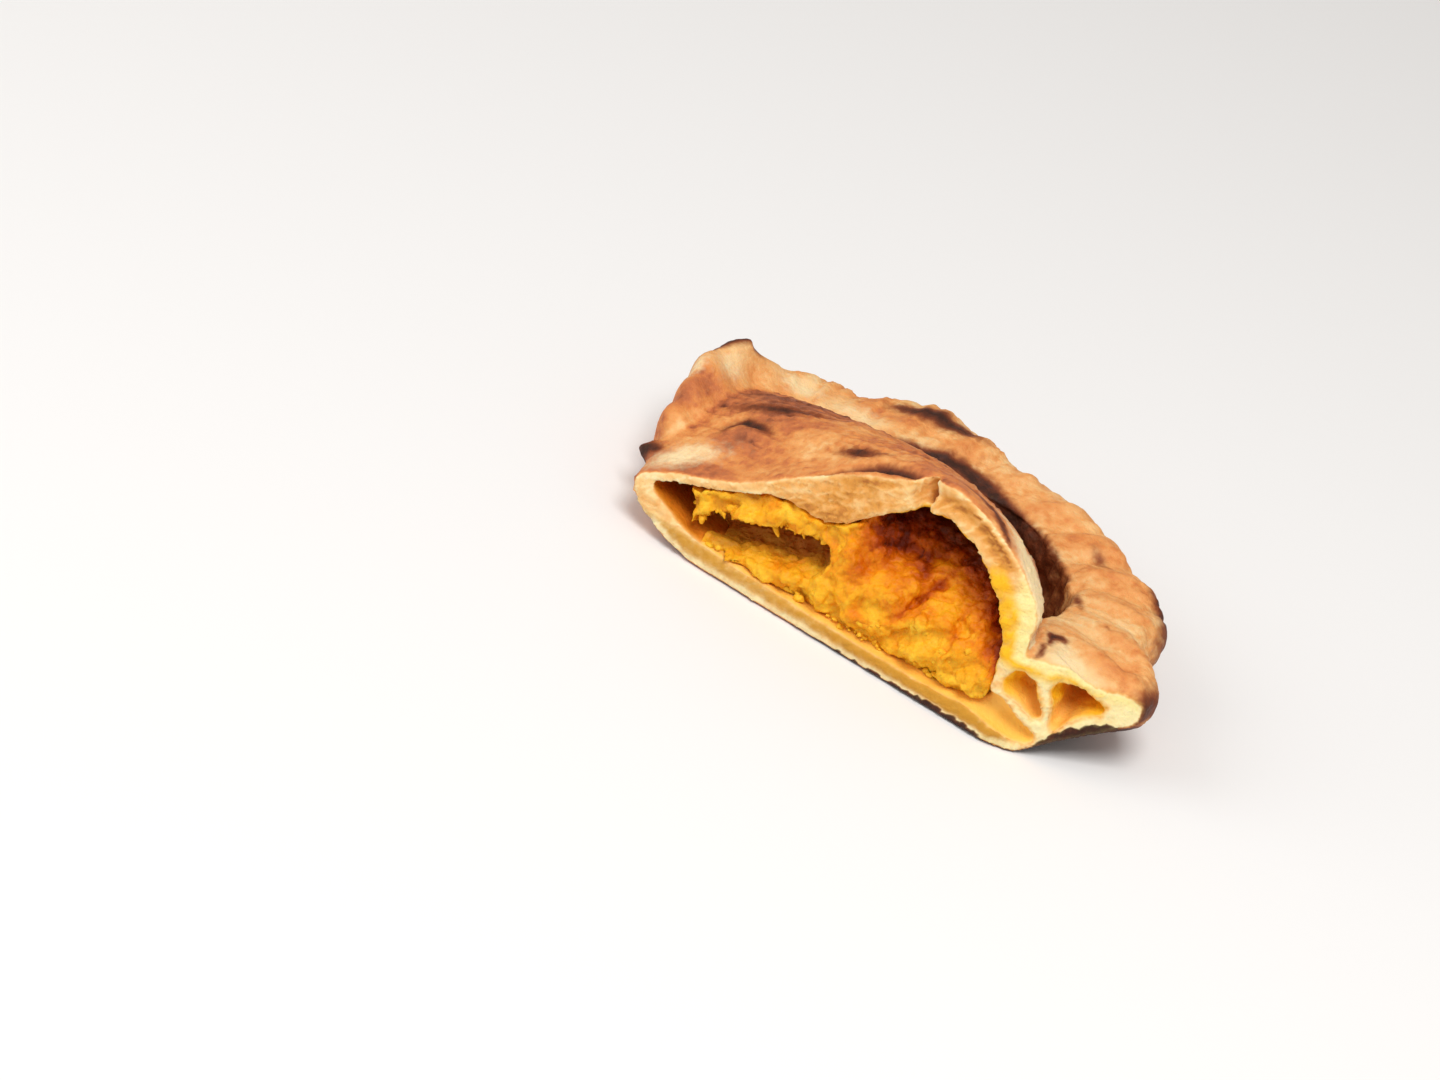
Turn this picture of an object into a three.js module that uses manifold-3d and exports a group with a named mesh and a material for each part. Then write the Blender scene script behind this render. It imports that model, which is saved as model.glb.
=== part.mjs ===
// One half of a baked cheddar turnover, cut across and seen with its filling, in millimetres, +Z up.
// The dough is folded along the left side, its edge is rolled up into a rope rim round the back and
// the right, and the cut face looks towards -Y. It lies on the flat underside of the dough.
import * as THREE from 'three';
import { mergeVertices } from 'three/addons/utils/BufferGeometryUtils.js';
import Module from 'manifold-3d';

// Where the flat underside's middle lies, counted from the fold's corner at the cut.
const BASE_CENTRE = { x: 44, y: 34 };

// The cut: a plane that leans back, and swings back further past the foot of the wall.
const CUT_LEAN = 0.2;
const CUT_SWING = 0.5;
const CUT_SWING_FROM = 86;
const NOTCH = { x: 52, z: 38, depth: 3.5, spreadX: 2.6, spreadZ: 4 };

// The dome: its highest spot is at the cut, and it falls from there to the wall line.
const PEAK = { x: 60, y: 8, z: 42.5 };
const DOME_EDGE_POWER = 5;
const FLOOR_THICKNESS = 4.2;
const SAG = { x: 18, y: 5, depth: 3, spreadX: 12, spreadY: 14 };

// The wall line in plan, anticlockwise: x, y, fall from the peak, power of the fall, height of the
// widest place, how far the underside lifts towards the edge, and how far out the hollow reaches.
const WALL_LINE = [
  [87, 2, 11, 1.6, 23, 0, 0.83],
  [83, 13.5, 12, 1.6, 22, 0, 0.83],
  [74.5, 24.5, 14, 1.6, 20, 0, 0.84],
  [62.5, 34, 18, 1.5, 16, 0, 0.86],
  [48, 43, 21, 1.4, 13, 0, 0.88],
  [29, 48, 22, 1.3, 12, 0, 0.89],
  [10, 48, 23, 1.2, 11, 0, 0.9],
  [-5, 45, 24, 1.1, 10, 1, 0.9],
  [-12, 36, 25, 1.1, 10, 3, 0.9],
  [-10, 23, 27, 1.1, 10, 5, 0.92],
  [-6, 11, 28.5, 1.1, 9.5, 5, 0.93],
  [-3.5, 0, 29.5, 1.15, 9.5, 5, 0.93],
  [-2, -14, 29.5, 1.15, 9.5, 5, 0.93],
  [30, -22, 26, 1.3, 10, 0, 0.93],
  [62, -22, 16, 1.5, 12, 0, 0.9],
  [86, -12, 11, 1.6, 22, 0, 0.85],
];

// The floor sheet's outline in plan, with the lift of the underside at its edge.
const FLOOR_LINE = [
  [93, 2, 0], [91, 15, 0], [86, 28, 0], [79.5, 41, 0], [67.5, 50, 0], [51, 54.5, 0], [32, 55, 0],
  [14, 52, 0], [-1, 48, 0], [-9, 40, 1], [-10, 29, 3], [-7, 14, 5], [-3, 0, 5],
  [-1.5, -14, 5], [45, -24, 0], [90, -14, 0],
];
const FLOOR_EDGE_POWER = 6;
const UNDERSIDE = { liftFrom: 0.72, liftTo: 1.1, gain: 1.4 };

// The rolled rim's middle line in plan: x, y, half width, height of its top, how much higher its
// outer side is than its inner side, and how far its underside lifts outwards.
const RIM_LINE = [
  [97.5, -18, 14, 18.5, -2.5, 15],
  [97, -2, 14, 18.5, -2.5, 15],
  [96.5, 12, 12.3, 20, -1.5, 11],
  [94, 25.5, 10.4, 21, 0, 7],
  [88.4, 38.7, 10.2, 21, 1, 4],
  [76.9, 49.6, 9.2, 20.5, 1, 4],
  [61, 57, 8.2, 20, 1, 4],
  [44.5, 58.4, 9.6, 20.5, 1, 4],
  [28, 58.5, 11, 21.5, 1, 4],
  [13, 54.5, 10, 18.5, 0, 4],
  [2.5, 51, 9, 18, 1, 4],
  [-5.3, 43.3, 8, 19.5, 3, 4],
  [-7.6, 33, 7.2, 21.6, 3, 4],
  [-6, 22.4, 5.6, 18, 3, 4],
  [-3, 13, 3.4, 12, 0, 4],
];
const RIM_OUTER_POWER = 2.6;
const RIM_INNER_POWER = 5;
const RIM_INNER_EDGE_SHARE = 0.83;
const RIM_OUTER_EDGE_SHARE = 0.6;
const RIM_EDGE_LIFT = 0.3;
const RIM_REST = 0.4;
const RIM_STEP = 1 / 108;
const RIDGE = { depth: 0.9, pitch: 10.5, slant: 2.2 };
const SCALLOP = { depth: 1.1, pitch: 27, phase: 0.7 };
const RIM_LENGTH = 205;
const EAR = { at: 0.78, steep: 0.016, gentle: 0.044, height: 5.6 };

// The hollow inside the dough, and the thickness of its roof.
const HOLLOW_EDGE_POWER = 3.4;
const HOLLOW_EDGE_HEIGHT = 9.5;
const HOLLOW_EDGE_LIFT = 0.2;
const ROOF = { left: 2.4, right: 7, from: 18, to: 70 };
const LIP = { x: 39, y: 5, thickness: 7.4, spreadX: 10.5, spreadY: 13 };

// Sections of the pleated seam at the cut, in x and z, and how far back each one runs.
const SEAM_TOE = {
  outline: [
    [75, 9.6], [81, 9.9], [85.6, 9.7], [88.2, 8.2], [91, 6],
    [93.4, 4.6], [93, 2.9], [89.5, 2.8], [85, 4], [80, 4.9], [75, 5.4],
  ],
  depth: 24,
};
const PLEAT_POCKET = {
  outline: [
    [84.9, 12], [85.4, 15], [87.2, 16.7], [89.3, 15.5],
    [91.2, 13.2], [92.5, 10.4], [93.4, 7.6], [91.6, 8.3], [89.4, 9.8], [87, 11.3],
  ],
  depth: 15,
};
const RIM_HOLLOW = {
  outline: [
    [92.8, 15.9], [95, 16.4], [97.8, 16.4], [101, 15.6], [102.9, 14.4], [102.7, 13],
    [100.2, 11.5], [98.2, 9.9], [97, 8], [96.1, 6.4], [95.1, 7.6], [94.8, 10.2], [93.9, 13.2],
  ],
  depth: 17,
};
const POCKET = { overshoot: 4, end: 0.4, turn: 0.25, bend: 0.008, sides: 26, rings: 7 };

// The filling: its gap to the dough, its face, the bare end wall on the left, its foot that stays
// behind the floor's edge, the air hole on the left and the space over the mound.
const FILLING_GAP = 0.35;
const FACE_SETBACK = 1.2;
const BARE_END = { reach: 16.6, slope: 0.6, soft: 3, depth: 20 };
const FOOT = { low: 4.5, high: 8.5, from: 24, to: 36, depth: 3 };
const AIR_HOLE = { x: 26.5, z: 11.5, halfLength: 15, halfHeight: 3.9, slope: 0.27, depth: 27 };
const MOUND = { top: 14, rise: 18, setback: 20, from: 43, to: 56 };
const LUMP = { height: 0.9, pitch: 8.5 };

// How far in front of the cut the block that takes the rest away reaches.
const BLOCK_FRONT = -70;

const SLIVER_TOLERANCE = 0.02;

const wasm = await Module();
wasm.setup();

// A smooth track through rows of numbers: uniform Catmull-Rom in every column.
function track(rows, closed) {
  const count = rows.length;
  const row = (i) => {
    if (closed) return rows[(i + count) % count];
    if (i < 0) return rows[0].map((value, k) => 2 * value - rows[1][k]);
    if (i >= count) return rows[count - 1].map((value, k) => 2 * value - rows[count - 2][k]);
    return rows[i];
  };
  return (t) => {
    const place = closed ? (((t % 1) + 1) % 1) * count : t * (count - 1);
    const i = closed ? Math.floor(place) : Math.min(Math.floor(place), count - 2);
    const w = place - i;
    const [a, b, c, d] = [row(i - 1), row(i), row(i + 1), row(i + 2)];
    return b.map((value, k) => value
      + 0.5 * w * (c[k] - a[k]
        + w * (2 * a[k] - 5 * value + 4 * c[k] - d[k]
          + w * (3 * (value - c[k]) + d[k] - a[k]))));
  };
}

const bell = (distance, spread) => Math.exp(-((distance / spread) ** 2));
const ramp = (value, from, to) => THREE.MathUtils.smoothstep(value, from, to);

const wallTrack = track(WALL_LINE, true);
const floorTrack = track(FLOOR_LINE, true);
const rimTrack = track(RIM_LINE, false);

const steps = (count) => Array.from({ length: count }, (_, i) => i);

function meshGeometry(positions, indices) {
  const geometry = new THREE.BufferGeometry();
  geometry.setAttribute('position', new THREE.Float32BufferAttribute(positions, 3));
  geometry.setIndex(indices);
  return geometry;
}

// A closed surface over rings of points, with a pole that closes it at each end.
function closedSurface(rings, firstPole, lastPole) {
  const columns = rings[0].length;
  const positions = [firstPole, ...rings.flat(), lastPole].flat();
  const last = 1 + rings.length * columns;
  const at = (i, j) => 1 + i * columns + (j % columns);
  const indices = [];
  for (let j = 0; j < columns; j += 1) {
    indices.push(0, at(0, j), at(0, j + 1));
    for (let i = 0; i < rings.length - 1; i += 1) {
      indices.push(at(i, j), at(i + 1, j), at(i + 1, j + 1));
      indices.push(at(i, j), at(i + 1, j + 1), at(i, j + 1));
    }
    indices.push(last, at(rings.length - 1, j + 1), at(rings.length - 1, j));
  }
  return meshGeometry(positions, indices);
}

// A squared quarter circle at a share of the way from its top (0) to its side (1): how far out and up.
// The warped angle spaces the points evenly, although the section is nearly square.
function squaredQuarter(share, power) {
  const angle = (Math.PI / 2) * share ** (power / 2);
  return [Math.sin(angle) ** (2 / power), Math.cos(angle) ** (2 / power)];
}

// A round body on rays from the peak: profile(t, out, up, above) is the point on the ray to t.
function roundBody(profile, power, columns, rows) {
  const half = rows / 2;
  const rings = steps(rows - 1).map((i) => {
    const above = i + 1 <= half;
    const [out, up] = squaredQuarter((above ? i + 1 : rows - i - 1) / half, power);
    return steps(columns).map((j) => profile(j / columns, out, up, above));
  });
  return closedSurface(rings, profile(0, 0, 1, true), profile(0, 0, 1, false));
}

// A squared ring, from its top by its inner side to its underside and back by its outer side.
function squaredRing(quarter, innerPower, outerPower) {
  return steps(4 * quarter).map((j) => {
    const share = (j % quarter) / quarter;
    const power = j < 2 * quarter ? innerPower : outerPower;
    const falling = Math.floor(j / quarter) % 2 === 0;
    const [out, up] = squaredQuarter(falling ? share : 1 - share, power);
    return { v: j < 2 * quarter ? -out : out, up, above: j <= quarter || j > 3 * quarter };
  });
}

// Height of the dome's skin at a share of the way from the peak to the wall line.
function domeHeight(wall, share, x, y) {
  const sag = SAG.depth * bell(x - SAG.x, SAG.spreadX) * bell(y - SAG.y, SAG.spreadY);
  return PEAK.z - wall[2] * share ** wall[3] - sag;
}

// Height of the dough's underside, which lifts off towards the fold.
function undersideHeight(lift, share) {
  return lift * UNDERSIDE.gain * ramp(share, UNDERSIDE.liftFrom, UNDERSIDE.liftTo);
}

function domeBody() {
  return roundBody((t, share, up, above) => {
    const wall = wallTrack(t);
    const x = PEAK.x + share * (wall[0] - PEAK.x);
    const y = PEAK.y + share * (wall[1] - PEAK.y);
    const low = undersideHeight(wall[5], share) + FLOOR_THICKNESS / 2;
    const far = above ? domeHeight(wall, share, x, y) : low;
    return [x, y, wall[4] + (far - wall[4]) * up];
  }, DOME_EDGE_POWER, 64, 26);
}

function floorSheet() {
  return roundBody((t, share, up, above) => {
    const edge = floorTrack(t);
    const x = PEAK.x + share * (edge[0] - PEAK.x);
    const y = PEAK.y + share * (edge[1] - PEAK.y);
    const middle = undersideHeight(edge[2], share) + FLOOR_THICKNESS / 2;
    return [x, y, middle + (above ? 0.5 : -0.5) * FLOOR_THICKNESS * up];
  }, FLOOR_EDGE_POWER, 44, 10);
}

// Height of the raised ear along the rim: a pointed tip, steep on one side and gentle on the other.
function earHeight(s) {
  const side = s < EAR.at ? EAR.steep : EAR.gentle;
  return EAR.height * Math.exp(-((Math.abs(s - EAR.at) / side) ** 1.3));
}

// The rope rim: one squared ring at each step of its middle line, with slanted ridges on top.
function rimBody() {
  const section = squaredRing(4, RIM_INNER_POWER, RIM_OUTER_POWER);
  const ring = (s) => {
    const [x, y, halfWidth, top, tilt, lift] = rimTrack(s);
    const [xa, ya] = rimTrack(s - RIM_STEP / 2);
    const [xb, yb] = rimTrack(s + RIM_STEP / 2);
    const run = Math.hypot(xb - xa, yb - ya);
    const along = s * RIM_LENGTH;
    const scallop = SCALLOP.depth * Math.sin((2 * Math.PI * along) / SCALLOP.pitch + SCALLOP.phase);
    return section.map(({ v, up, above }) => {
      const edge = top * THREE.MathUtils.lerp(RIM_INNER_EDGE_SHARE, RIM_OUTER_EDGE_SHARE, (v + 1) / 2)
        + RIM_EDGE_LIFT * lift * Math.max(v, 0);
      const ridge = RIDGE.depth * Math.sin((2 * Math.PI * along) / RIDGE.pitch + RIDGE.slant * v);
      const ear = earHeight(s) * ramp(v, -0.3, 0.8);
      const high = top + tilt * v + ridge * ramp(v, -1, 0) + ear;
      const low = RIM_REST + lift * ramp(v, -0.7, 1.3);
      const reach = v * (halfWidth + (v > 0 ? scallop : 0));
      const z = edge + ((above ? high : low) - edge) * up;
      return [x + (reach * (yb - ya)) / run, y - (reach * (xb - xa)) / run, z];
    });
  };
  const pole = (s) => {
    const [x, y, , top] = rimTrack(s);
    return [x, y, top / 2];
  };
  const rows = Math.round(1 / RIM_STEP);
  return closedSurface(steps(rows + 1).map((i) => ring(i / rows)), pole(0), pole(1));
}

// The hollow inside the dome. A gap draws every side in, for the filling that fills it.
function hollowBody(gap) {
  return roundBody((t, share, up, above) => {
    const wall = wallTrack(t);
    const length = Math.hypot(wall[0] - PEAK.x, wall[1] - PEAK.y);
    const inner = share * (wall[6] - gap / length);
    const x = PEAK.x + inner * (wall[0] - PEAK.x);
    const y = PEAK.y + inner * (wall[1] - PEAK.y);
    const lip = LIP.thickness * bell(x - LIP.x, LIP.spreadX) * bell(y - LIP.y, LIP.spreadY);
    const thickness = ROOF.left + (ROOF.right - ROOF.left) * ramp(x, ROOF.from, ROOF.to) + lip;
    const roof = domeHeight(wall, inner, x, y) - thickness - gap;
    const floor = undersideHeight(wall[5], inner) + FLOOR_THICKNESS + gap;
    const edge = HOLLOW_EDGE_HEIGHT + HOLLOW_EDGE_LIFT * wall[5];
    return [x, y, edge + ((above ? roof : floor) - edge) * up];
  }, HOLLOW_EDGE_POWER, 60, 22);
}

// Depth of the cut at a place on the cut face, with the notch torn into the lip's edge.
function cutDepth(x, z) {
  const notch = NOTCH.depth * bell(x - NOTCH.x, NOTCH.spreadX) * bell(z - NOTCH.z, NOTCH.spreadZ);
  return CUT_LEAN * Math.max(z, 0) + CUT_SWING * Math.max(x - CUT_SWING_FROM, 0) + notch;
}

// A tapering pocket: a smooth outline in x and z at the cut that shrinks and bends as it runs back.
function pocket({ outline, depth }) {
  const line = track(outline, true);
  const mean = (k) => outline.reduce((sum, row) => sum + row[k], 0) / outline.length;
  const [middleX, middleZ] = [mean(0), mean(1)];
  const point = (x, z, back) => {
    const bend = POCKET.turn * Math.max(back, 0) + POCKET.bend * back * back;
    return [x - bend, cutDepth(x, z) + back, z];
  };
  const ring = (share) => {
    const back = THREE.MathUtils.lerp(-POCKET.overshoot, depth, share);
    const size = 1 - (1 - POCKET.end) * ramp(share, POCKET.overshoot / depth, 1);
    return steps(POCKET.sides).map((j) => {
      const [x, z] = line(j / POCKET.sides);
      return point(middleX + size * (x - middleX), middleZ + size * (z - middleZ), back);
    });
  };
  const rings = steps(POCKET.rings).map((i) => ring(1 - i / (POCKET.rings - 1)));
  return closedSurface(rings, point(middleX, middleZ, depth), point(middleX, middleZ, -POCKET.overshoot));
}

// A block that takes away everything in front of depth(x, z).
function frontBlock(depth, xRange, zRange, columns, rows) {
  const place = (i, j) => [
    THREE.MathUtils.lerp(xRange[0], xRange[1], i / columns),
    THREE.MathUtils.lerp(zRange[0], zRange[1], j / rows),
  ];
  const positions = [];
  for (let i = 0; i <= columns; i += 1) {
    for (let j = 0; j <= rows; j += 1) {
      const [x, z] = place(i, j);
      positions.push(x, depth(x, z), z);
    }
  }
  const corner = positions.length / 3;
  const [lowLeft, lowRight, highRight, highLeft] = [corner, corner + 1, corner + 2, corner + 3];
  [[0, 0], [columns, 0], [columns, rows], [0, rows]].forEach(([i, j]) => {
    const [x, z] = place(i, j);
    positions.push(x, BLOCK_FRONT, z);
  });
  const id = (i, j) => i * (rows + 1) + j;
  const indices = [lowLeft, lowRight, highRight, lowLeft, highRight, highLeft];
  for (let i = 0; i < columns; i += 1) {
    for (let j = 0; j < rows; j += 1) {
      indices.push(id(i, j), id(i + 1, j + 1), id(i + 1, j));
      indices.push(id(i, j), id(i, j + 1), id(i + 1, j + 1));
    }
  }
  const fan = (from, line) => {
    for (let k = 0; k < line.length - 1; k += 1) indices.push(from, line[k], line[k + 1]);
  };
  fan(lowRight, [lowLeft, ...steps(columns + 1).map((i) => id(i, 0))]);
  fan(highRight, [lowRight, ...steps(rows + 1).map((j) => id(columns, j))]);
  fan(highLeft, [highRight, ...steps(columns + 1).map((i) => id(columns - i, rows))]);
  fan(lowLeft, [highLeft, ...steps(rows + 1).map((j) => id(0, rows - j))]);
  return meshGeometry(positions, indices);
}

// Depth of the filling's face: lumpy, with the air hole and the open space above. It lies further
// back at the bare end on the left and at the foot.
function fillingDepth(x, z) {
  const along = (x - AIR_HOLE.x) / AIR_HOLE.halfLength;
  const across = (z - AIR_HOLE.z - AIR_HOLE.slope * (x - AIR_HOLE.x)) / AIR_HOLE.halfHeight;
  const hole = AIR_HOLE.depth * Math.max(0, 1 - along ** 4 - across ** 4) ** 0.3 * ramp(across, -1.2, 0.6);
  const above = MOUND.setback * ramp(z, MOUND.top, MOUND.top + MOUND.rise) * ramp(x, MOUND.from, MOUND.to);
  const place = x + BARE_END.slope * z;
  const bare = BARE_END.depth * (1 - ramp(place, BARE_END.reach - BARE_END.soft, BARE_END.reach));
  const foot = FOOT.depth * (1 - ramp(z, FOOT.low, FOOT.high)) * ramp(x, FOOT.from, FOOT.to);
  const turn = (2 * Math.PI) / LUMP.pitch;
  const lump = Math.sin(turn * x + 2 * Math.sin(0.31 * z)) * Math.cos(0.7 * turn * z + 0.13 * x)
    + 0.6 * Math.sin(turn * (0.62 * x - 1.1 * z)) + 0.4 * Math.sin(turn * (1.45 * x + 0.5 * z));
  const smooth = ramp(AIR_HOLE.depth - hole, 0, AIR_HOLE.depth);
  return cutDepth(x, z) + FACE_SETBACK + Math.max(hole, above, bare, foot) + LUMP.height * lump * smooth;
}

// Conversions to and from the solid library. Slivers under the tolerance are taken out on the way back.
function solid(geometry) {
  geometry.deleteAttribute('normal');
  geometry.deleteAttribute('uv');
  const merged = mergeVertices(geometry, 1e-4);
  return new wasm.Manifold(new wasm.Mesh({
    numProp: 3,
    vertProperties: new Float32Array(merged.attributes.position.array),
    triVerts: new Uint32Array(merged.index.array),
  }));
}

function geometryOf(manifold) {
  const mesh = manifold.simplify(SLIVER_TOLERANCE).getMesh();
  const geometry = new THREE.BufferGeometry();
  geometry.setAttribute('position', new THREE.BufferAttribute(new Float32Array(mesh.vertProperties), 3));
  geometry.setIndex(new THREE.BufferAttribute(new Uint32Array(mesh.triVerts), 1));
  geometry.translate(-BASE_CENTRE.x, -BASE_CENTRE.y, 0);
  geometry.computeVertexNormals();
  return geometry;
}

function crustGeometry() {
  const dough = solid(floorSheet()).add(solid(domeBody())).add(solid(rimBody()));
  return geometryOf(dough
    .subtract(solid(hollowBody(0)))
    .subtract(solid(pocket(SEAM_TOE)))
    .subtract(solid(pocket(PLEAT_POCKET)))
    .subtract(solid(pocket(RIM_HOLLOW)))
    .subtract(solid(frontBlock(cutDepth, [-30, 120], [-10, 50], 75, 30))));
}

function fillingGeometry() {
  const front = frontBlock(fillingDepth, [-12, 96], [-2, 48], 54, 25);
  return geometryOf(solid(hollowBody(FILLING_GAP)).subtract(solid(front)));
}

function piece(name, geometry, colour, roughness) {
  const material = new THREE.MeshStandardMaterial({ color: colour, roughness, metalness: 0 });
  const mesh = new THREE.Mesh(geometry, material);
  mesh.name = name;
  return mesh;
}

const turnover = new THREE.Group();
turnover.add(piece('crust', crustGeometry(), 0xd9a05b, 0.75));
turnover.add(piece('cheese_filling', fillingGeometry(), 0xe9a324, 0.5));

export default turnover;
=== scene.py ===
# %% [markdown]
# A cheddar turnover, cut across
# A turnover is a round of bread dough folded over its filling, with the edge rolled up into a rope rim.
# This notebook dresses one cut half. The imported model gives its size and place, and every piece below
# is worked out in the same frame, in millimetres first and in metres when it becomes a mesh.

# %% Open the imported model
from itertools import product

import bpy
import numpy as np
from mathutils import Matrix, Vector


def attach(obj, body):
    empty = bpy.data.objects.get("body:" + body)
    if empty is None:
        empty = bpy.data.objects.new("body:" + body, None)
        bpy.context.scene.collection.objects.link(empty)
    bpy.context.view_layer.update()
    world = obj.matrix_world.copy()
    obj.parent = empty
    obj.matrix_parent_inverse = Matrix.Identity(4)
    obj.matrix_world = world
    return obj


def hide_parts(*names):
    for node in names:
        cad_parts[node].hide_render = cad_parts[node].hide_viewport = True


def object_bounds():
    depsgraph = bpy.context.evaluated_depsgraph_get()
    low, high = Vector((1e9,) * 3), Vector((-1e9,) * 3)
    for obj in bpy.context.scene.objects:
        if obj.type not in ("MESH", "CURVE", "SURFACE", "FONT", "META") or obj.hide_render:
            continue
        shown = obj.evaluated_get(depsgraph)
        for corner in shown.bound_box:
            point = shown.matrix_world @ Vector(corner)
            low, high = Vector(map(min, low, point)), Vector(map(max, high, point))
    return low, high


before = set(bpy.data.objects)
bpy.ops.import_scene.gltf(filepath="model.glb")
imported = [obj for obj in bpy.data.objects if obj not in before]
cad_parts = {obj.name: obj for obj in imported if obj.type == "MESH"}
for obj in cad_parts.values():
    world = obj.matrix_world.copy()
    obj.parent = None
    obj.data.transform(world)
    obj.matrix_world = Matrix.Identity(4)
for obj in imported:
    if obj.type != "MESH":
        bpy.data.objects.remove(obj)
cad_low, cad_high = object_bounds()
print("nodes:", sorted(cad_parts), "box in mm:", [round(1000 * v) for v in cad_high - cad_low])

# %% [markdown]
# Numbers that draw the dough
# The form is drawn on three lines seen from above: the foot of the domed wall, the edge of the flat
# floor, and the middle of the rolled rim. Each row also says how high and how thick the dough is there.
# The plan is counted from the fold's corner at the cut, and BASE moves it to the middle of the base.

# %% The forms of the dough, in millimetres
BASE = np.array([44.0, 34.0, 0.0])
# The cut leans back with height, swings back where x is past the wall, and has a notch
CUT_LEAN, CUT_SWING, CUT_SWING_FROM = 0.2, 0.5, 86
NOTCH = dict(x=54.6, z=37.5, depth=4.6, wide=2.0, high=4.5)
PEAK = np.array([60.0, 8.0, 42.5])
# Power of each squared section: 2 is a circle, and a higher power has fuller corners
DOME_SQUARENESS, FLOOR_SQUARENESS, HOLLOW_SQUARENESS = 5, 6, 3.4
RIM_INNER_SQUARENESS, RIM_OUTER_SQUARENESS = 5, 2.6
# The sheet's thickness, the height of the rim's underside, and the hollow's widest height
FLOOR_THICKNESS, RIM_REST, HOLLOW_EDGE = 4.2, 0.4, 9.5
# The block in front of the cut reaches to the first y, and its poles stand at the second
FRONT_PLANE, FRONT_MIDDLE = -70, -30
# x, y, fall from the peak, power of the fall, widest height, lift of the underside, reach of the hollow
WALL_LINE = [
    (87, 2, 11, 1.6, 23, 0, 0.83), (83, 13.5, 12, 1.6, 22, 0, 0.83), (74.5, 24.5, 14, 1.6, 20, 0, 0.84),
    (62.5, 34, 18, 1.5, 16, 0, 0.86), (48, 43, 21, 1.4, 13, 0, 0.88), (29, 48, 22, 1.3, 12, 0, 0.89),
    (10, 48, 23, 1.2, 11, 0, 0.9), (-5, 45, 24, 1.1, 10, 1, 0.9), (-12, 36, 25, 1.1, 10, 3, 0.9),
    (-10, 23, 27, 1.1, 10, 5, 0.92), (-6, 11, 28.5, 1.1, 9.5, 5, 0.93), (-3.5, 0, 29.5, 1.15, 9.5, 5, 0.93),
    (-2, -14, 29.5, 1.15, 9.5, 5, 0.93), (30, -22, 26, 1.3, 10, 0, 0.93),
    (62, -22, 16, 1.5, 12, 0, 0.9), (86, -12, 11, 1.6, 22, 0, 0.85),
]
# x, y, lift of the underside
FLOOR_LINE = [
    (93, 2, 0), (91, 15, 0), (86, 28, 0), (79.5, 41, 0), (67.5, 50, 0), (51, 54.5, 0),
    (32, 55, 0), (14, 52, 0), (-1, 48, 0), (-9, 40, 1), (-10, 29, 3), (-7, 14, 5),
    (-3, 0, 5), (-1.5, -14, 5), (45, -24, 0), (90, -14, 0),
]
# x, y, half width, height of the top, tilt outwards, lift of the underside outwards
RIM_LINE = [
    (97.5, -18, 14, 18.5, -2.5, 15), (97, -2, 14, 18.5, -2.5, 15), (96.5, 12, 12.3, 20, -1.5, 11),
    (94, 25.5, 10.4, 21, 0, 7), (88.4, 38.7, 10.2, 21, 1, 4), (76.9, 49.6, 9.2, 20.5, 1, 4),
    (61, 57, 8.2, 20, 1, 4), (44.5, 58.4, 9.6, 20.5, 1, 4), (28, 58.5, 11, 21.5, 1, 4),
    (13, 54.5, 10, 18.5, 0, 4), (2.5, 51, 9, 18, 1, 4), (-5.3, 43.3, 8, 19.5, 3, 4),
    (-7.6, 33, 7.2, 21.6, 3, 4), (-5.2, 22.4, 4.9, 18, 3, 4), (-3, 13, 3.4, 12, 0, 4),
]
RIM_LENGTH, RIM_STEP, RIDGE_PITCH, SCALLOP_PITCH = 205, 1 / 108, 10.5, 27
# The ear's place along the rim, its reach on either side as shares of the rim's length, and its height
EAR = dict(at=0.78, steep=0.015, gentle=0.034, height=5.8)
# The roof of the hollow and its thick lip, and the filling's air hole
ROOF = dict(left=2.4, right=7.0, start=18, end=70)
LIP = dict(x=39, y=5, thickness=7.4, wide=10.5, deep=13)
AIR_HOLE = dict(x=26.5, z=11.5, half_length=15, half_height=3.9, slope=0.27, depth=27)
# Gap between dough and filling, and the width of each net's faces
FILLING_GAP, CRUST_NET, CHEESE_NET = 0.35, 0.68, 0.5
print("drawn with", len(WALL_LINE) + len(FLOOR_LINE) + len(RIM_LINE), "rows")

# %% [markdown]
# Smooth tracks
# Hand-made dough has no straight lines, so the rows are joined by a Catmull-Rom track. It passes
# through every row, and it carries the heights and widths along with the places.


# %% A track through rows, and two soft steps
def track(rows, closed):
    """The track at t from 0 to 1. Between rows b and c, with a before and d after them, it is
    b + w/2 (c - a + w (2a - 5b + 4c - d + w (3(b - c) + d - a))), where w is the share of the way."""
    rows = np.array(rows, float)
    first, last = (rows[-1], rows[:2]) if closed else (2 * rows[0] - rows[1], 2 * rows[-1:] - rows[-2:-1])
    line = np.vstack([first[None], rows, last])
    spans = len(rows) if closed else len(rows) - 1

    def at(t):
        """The row of numbers at t, which may be an array of any shape."""
        place = (np.asarray(t, float) % 1.0 if closed else np.asarray(t, float)) * spans
        i = np.clip(np.floor(place).astype(int), 0, spans - 1)
        w = (place - i)[..., None]
        a, b, c, d = line[i], line[i + 1], line[i + 2], line[i + 3]
        return b + 0.5 * w * (c - a + w * (2 * a - 5 * b + 4 * c - d + w * (3 * (b - c) + d - a)))

    return at


def bell(distance, spread):
    """exp(-(distance / spread)^2): 1 in the middle, soft to all sides."""
    return np.exp(-((distance / spread) ** 2))


def ramp(value, start, end):
    """0 before start, 1 after end, and 3w^2 - 2w^3 between them."""
    w = np.clip((value - start) / (end - start), 0, 1)
    return w * w * (3 - 2 * w)


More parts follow.
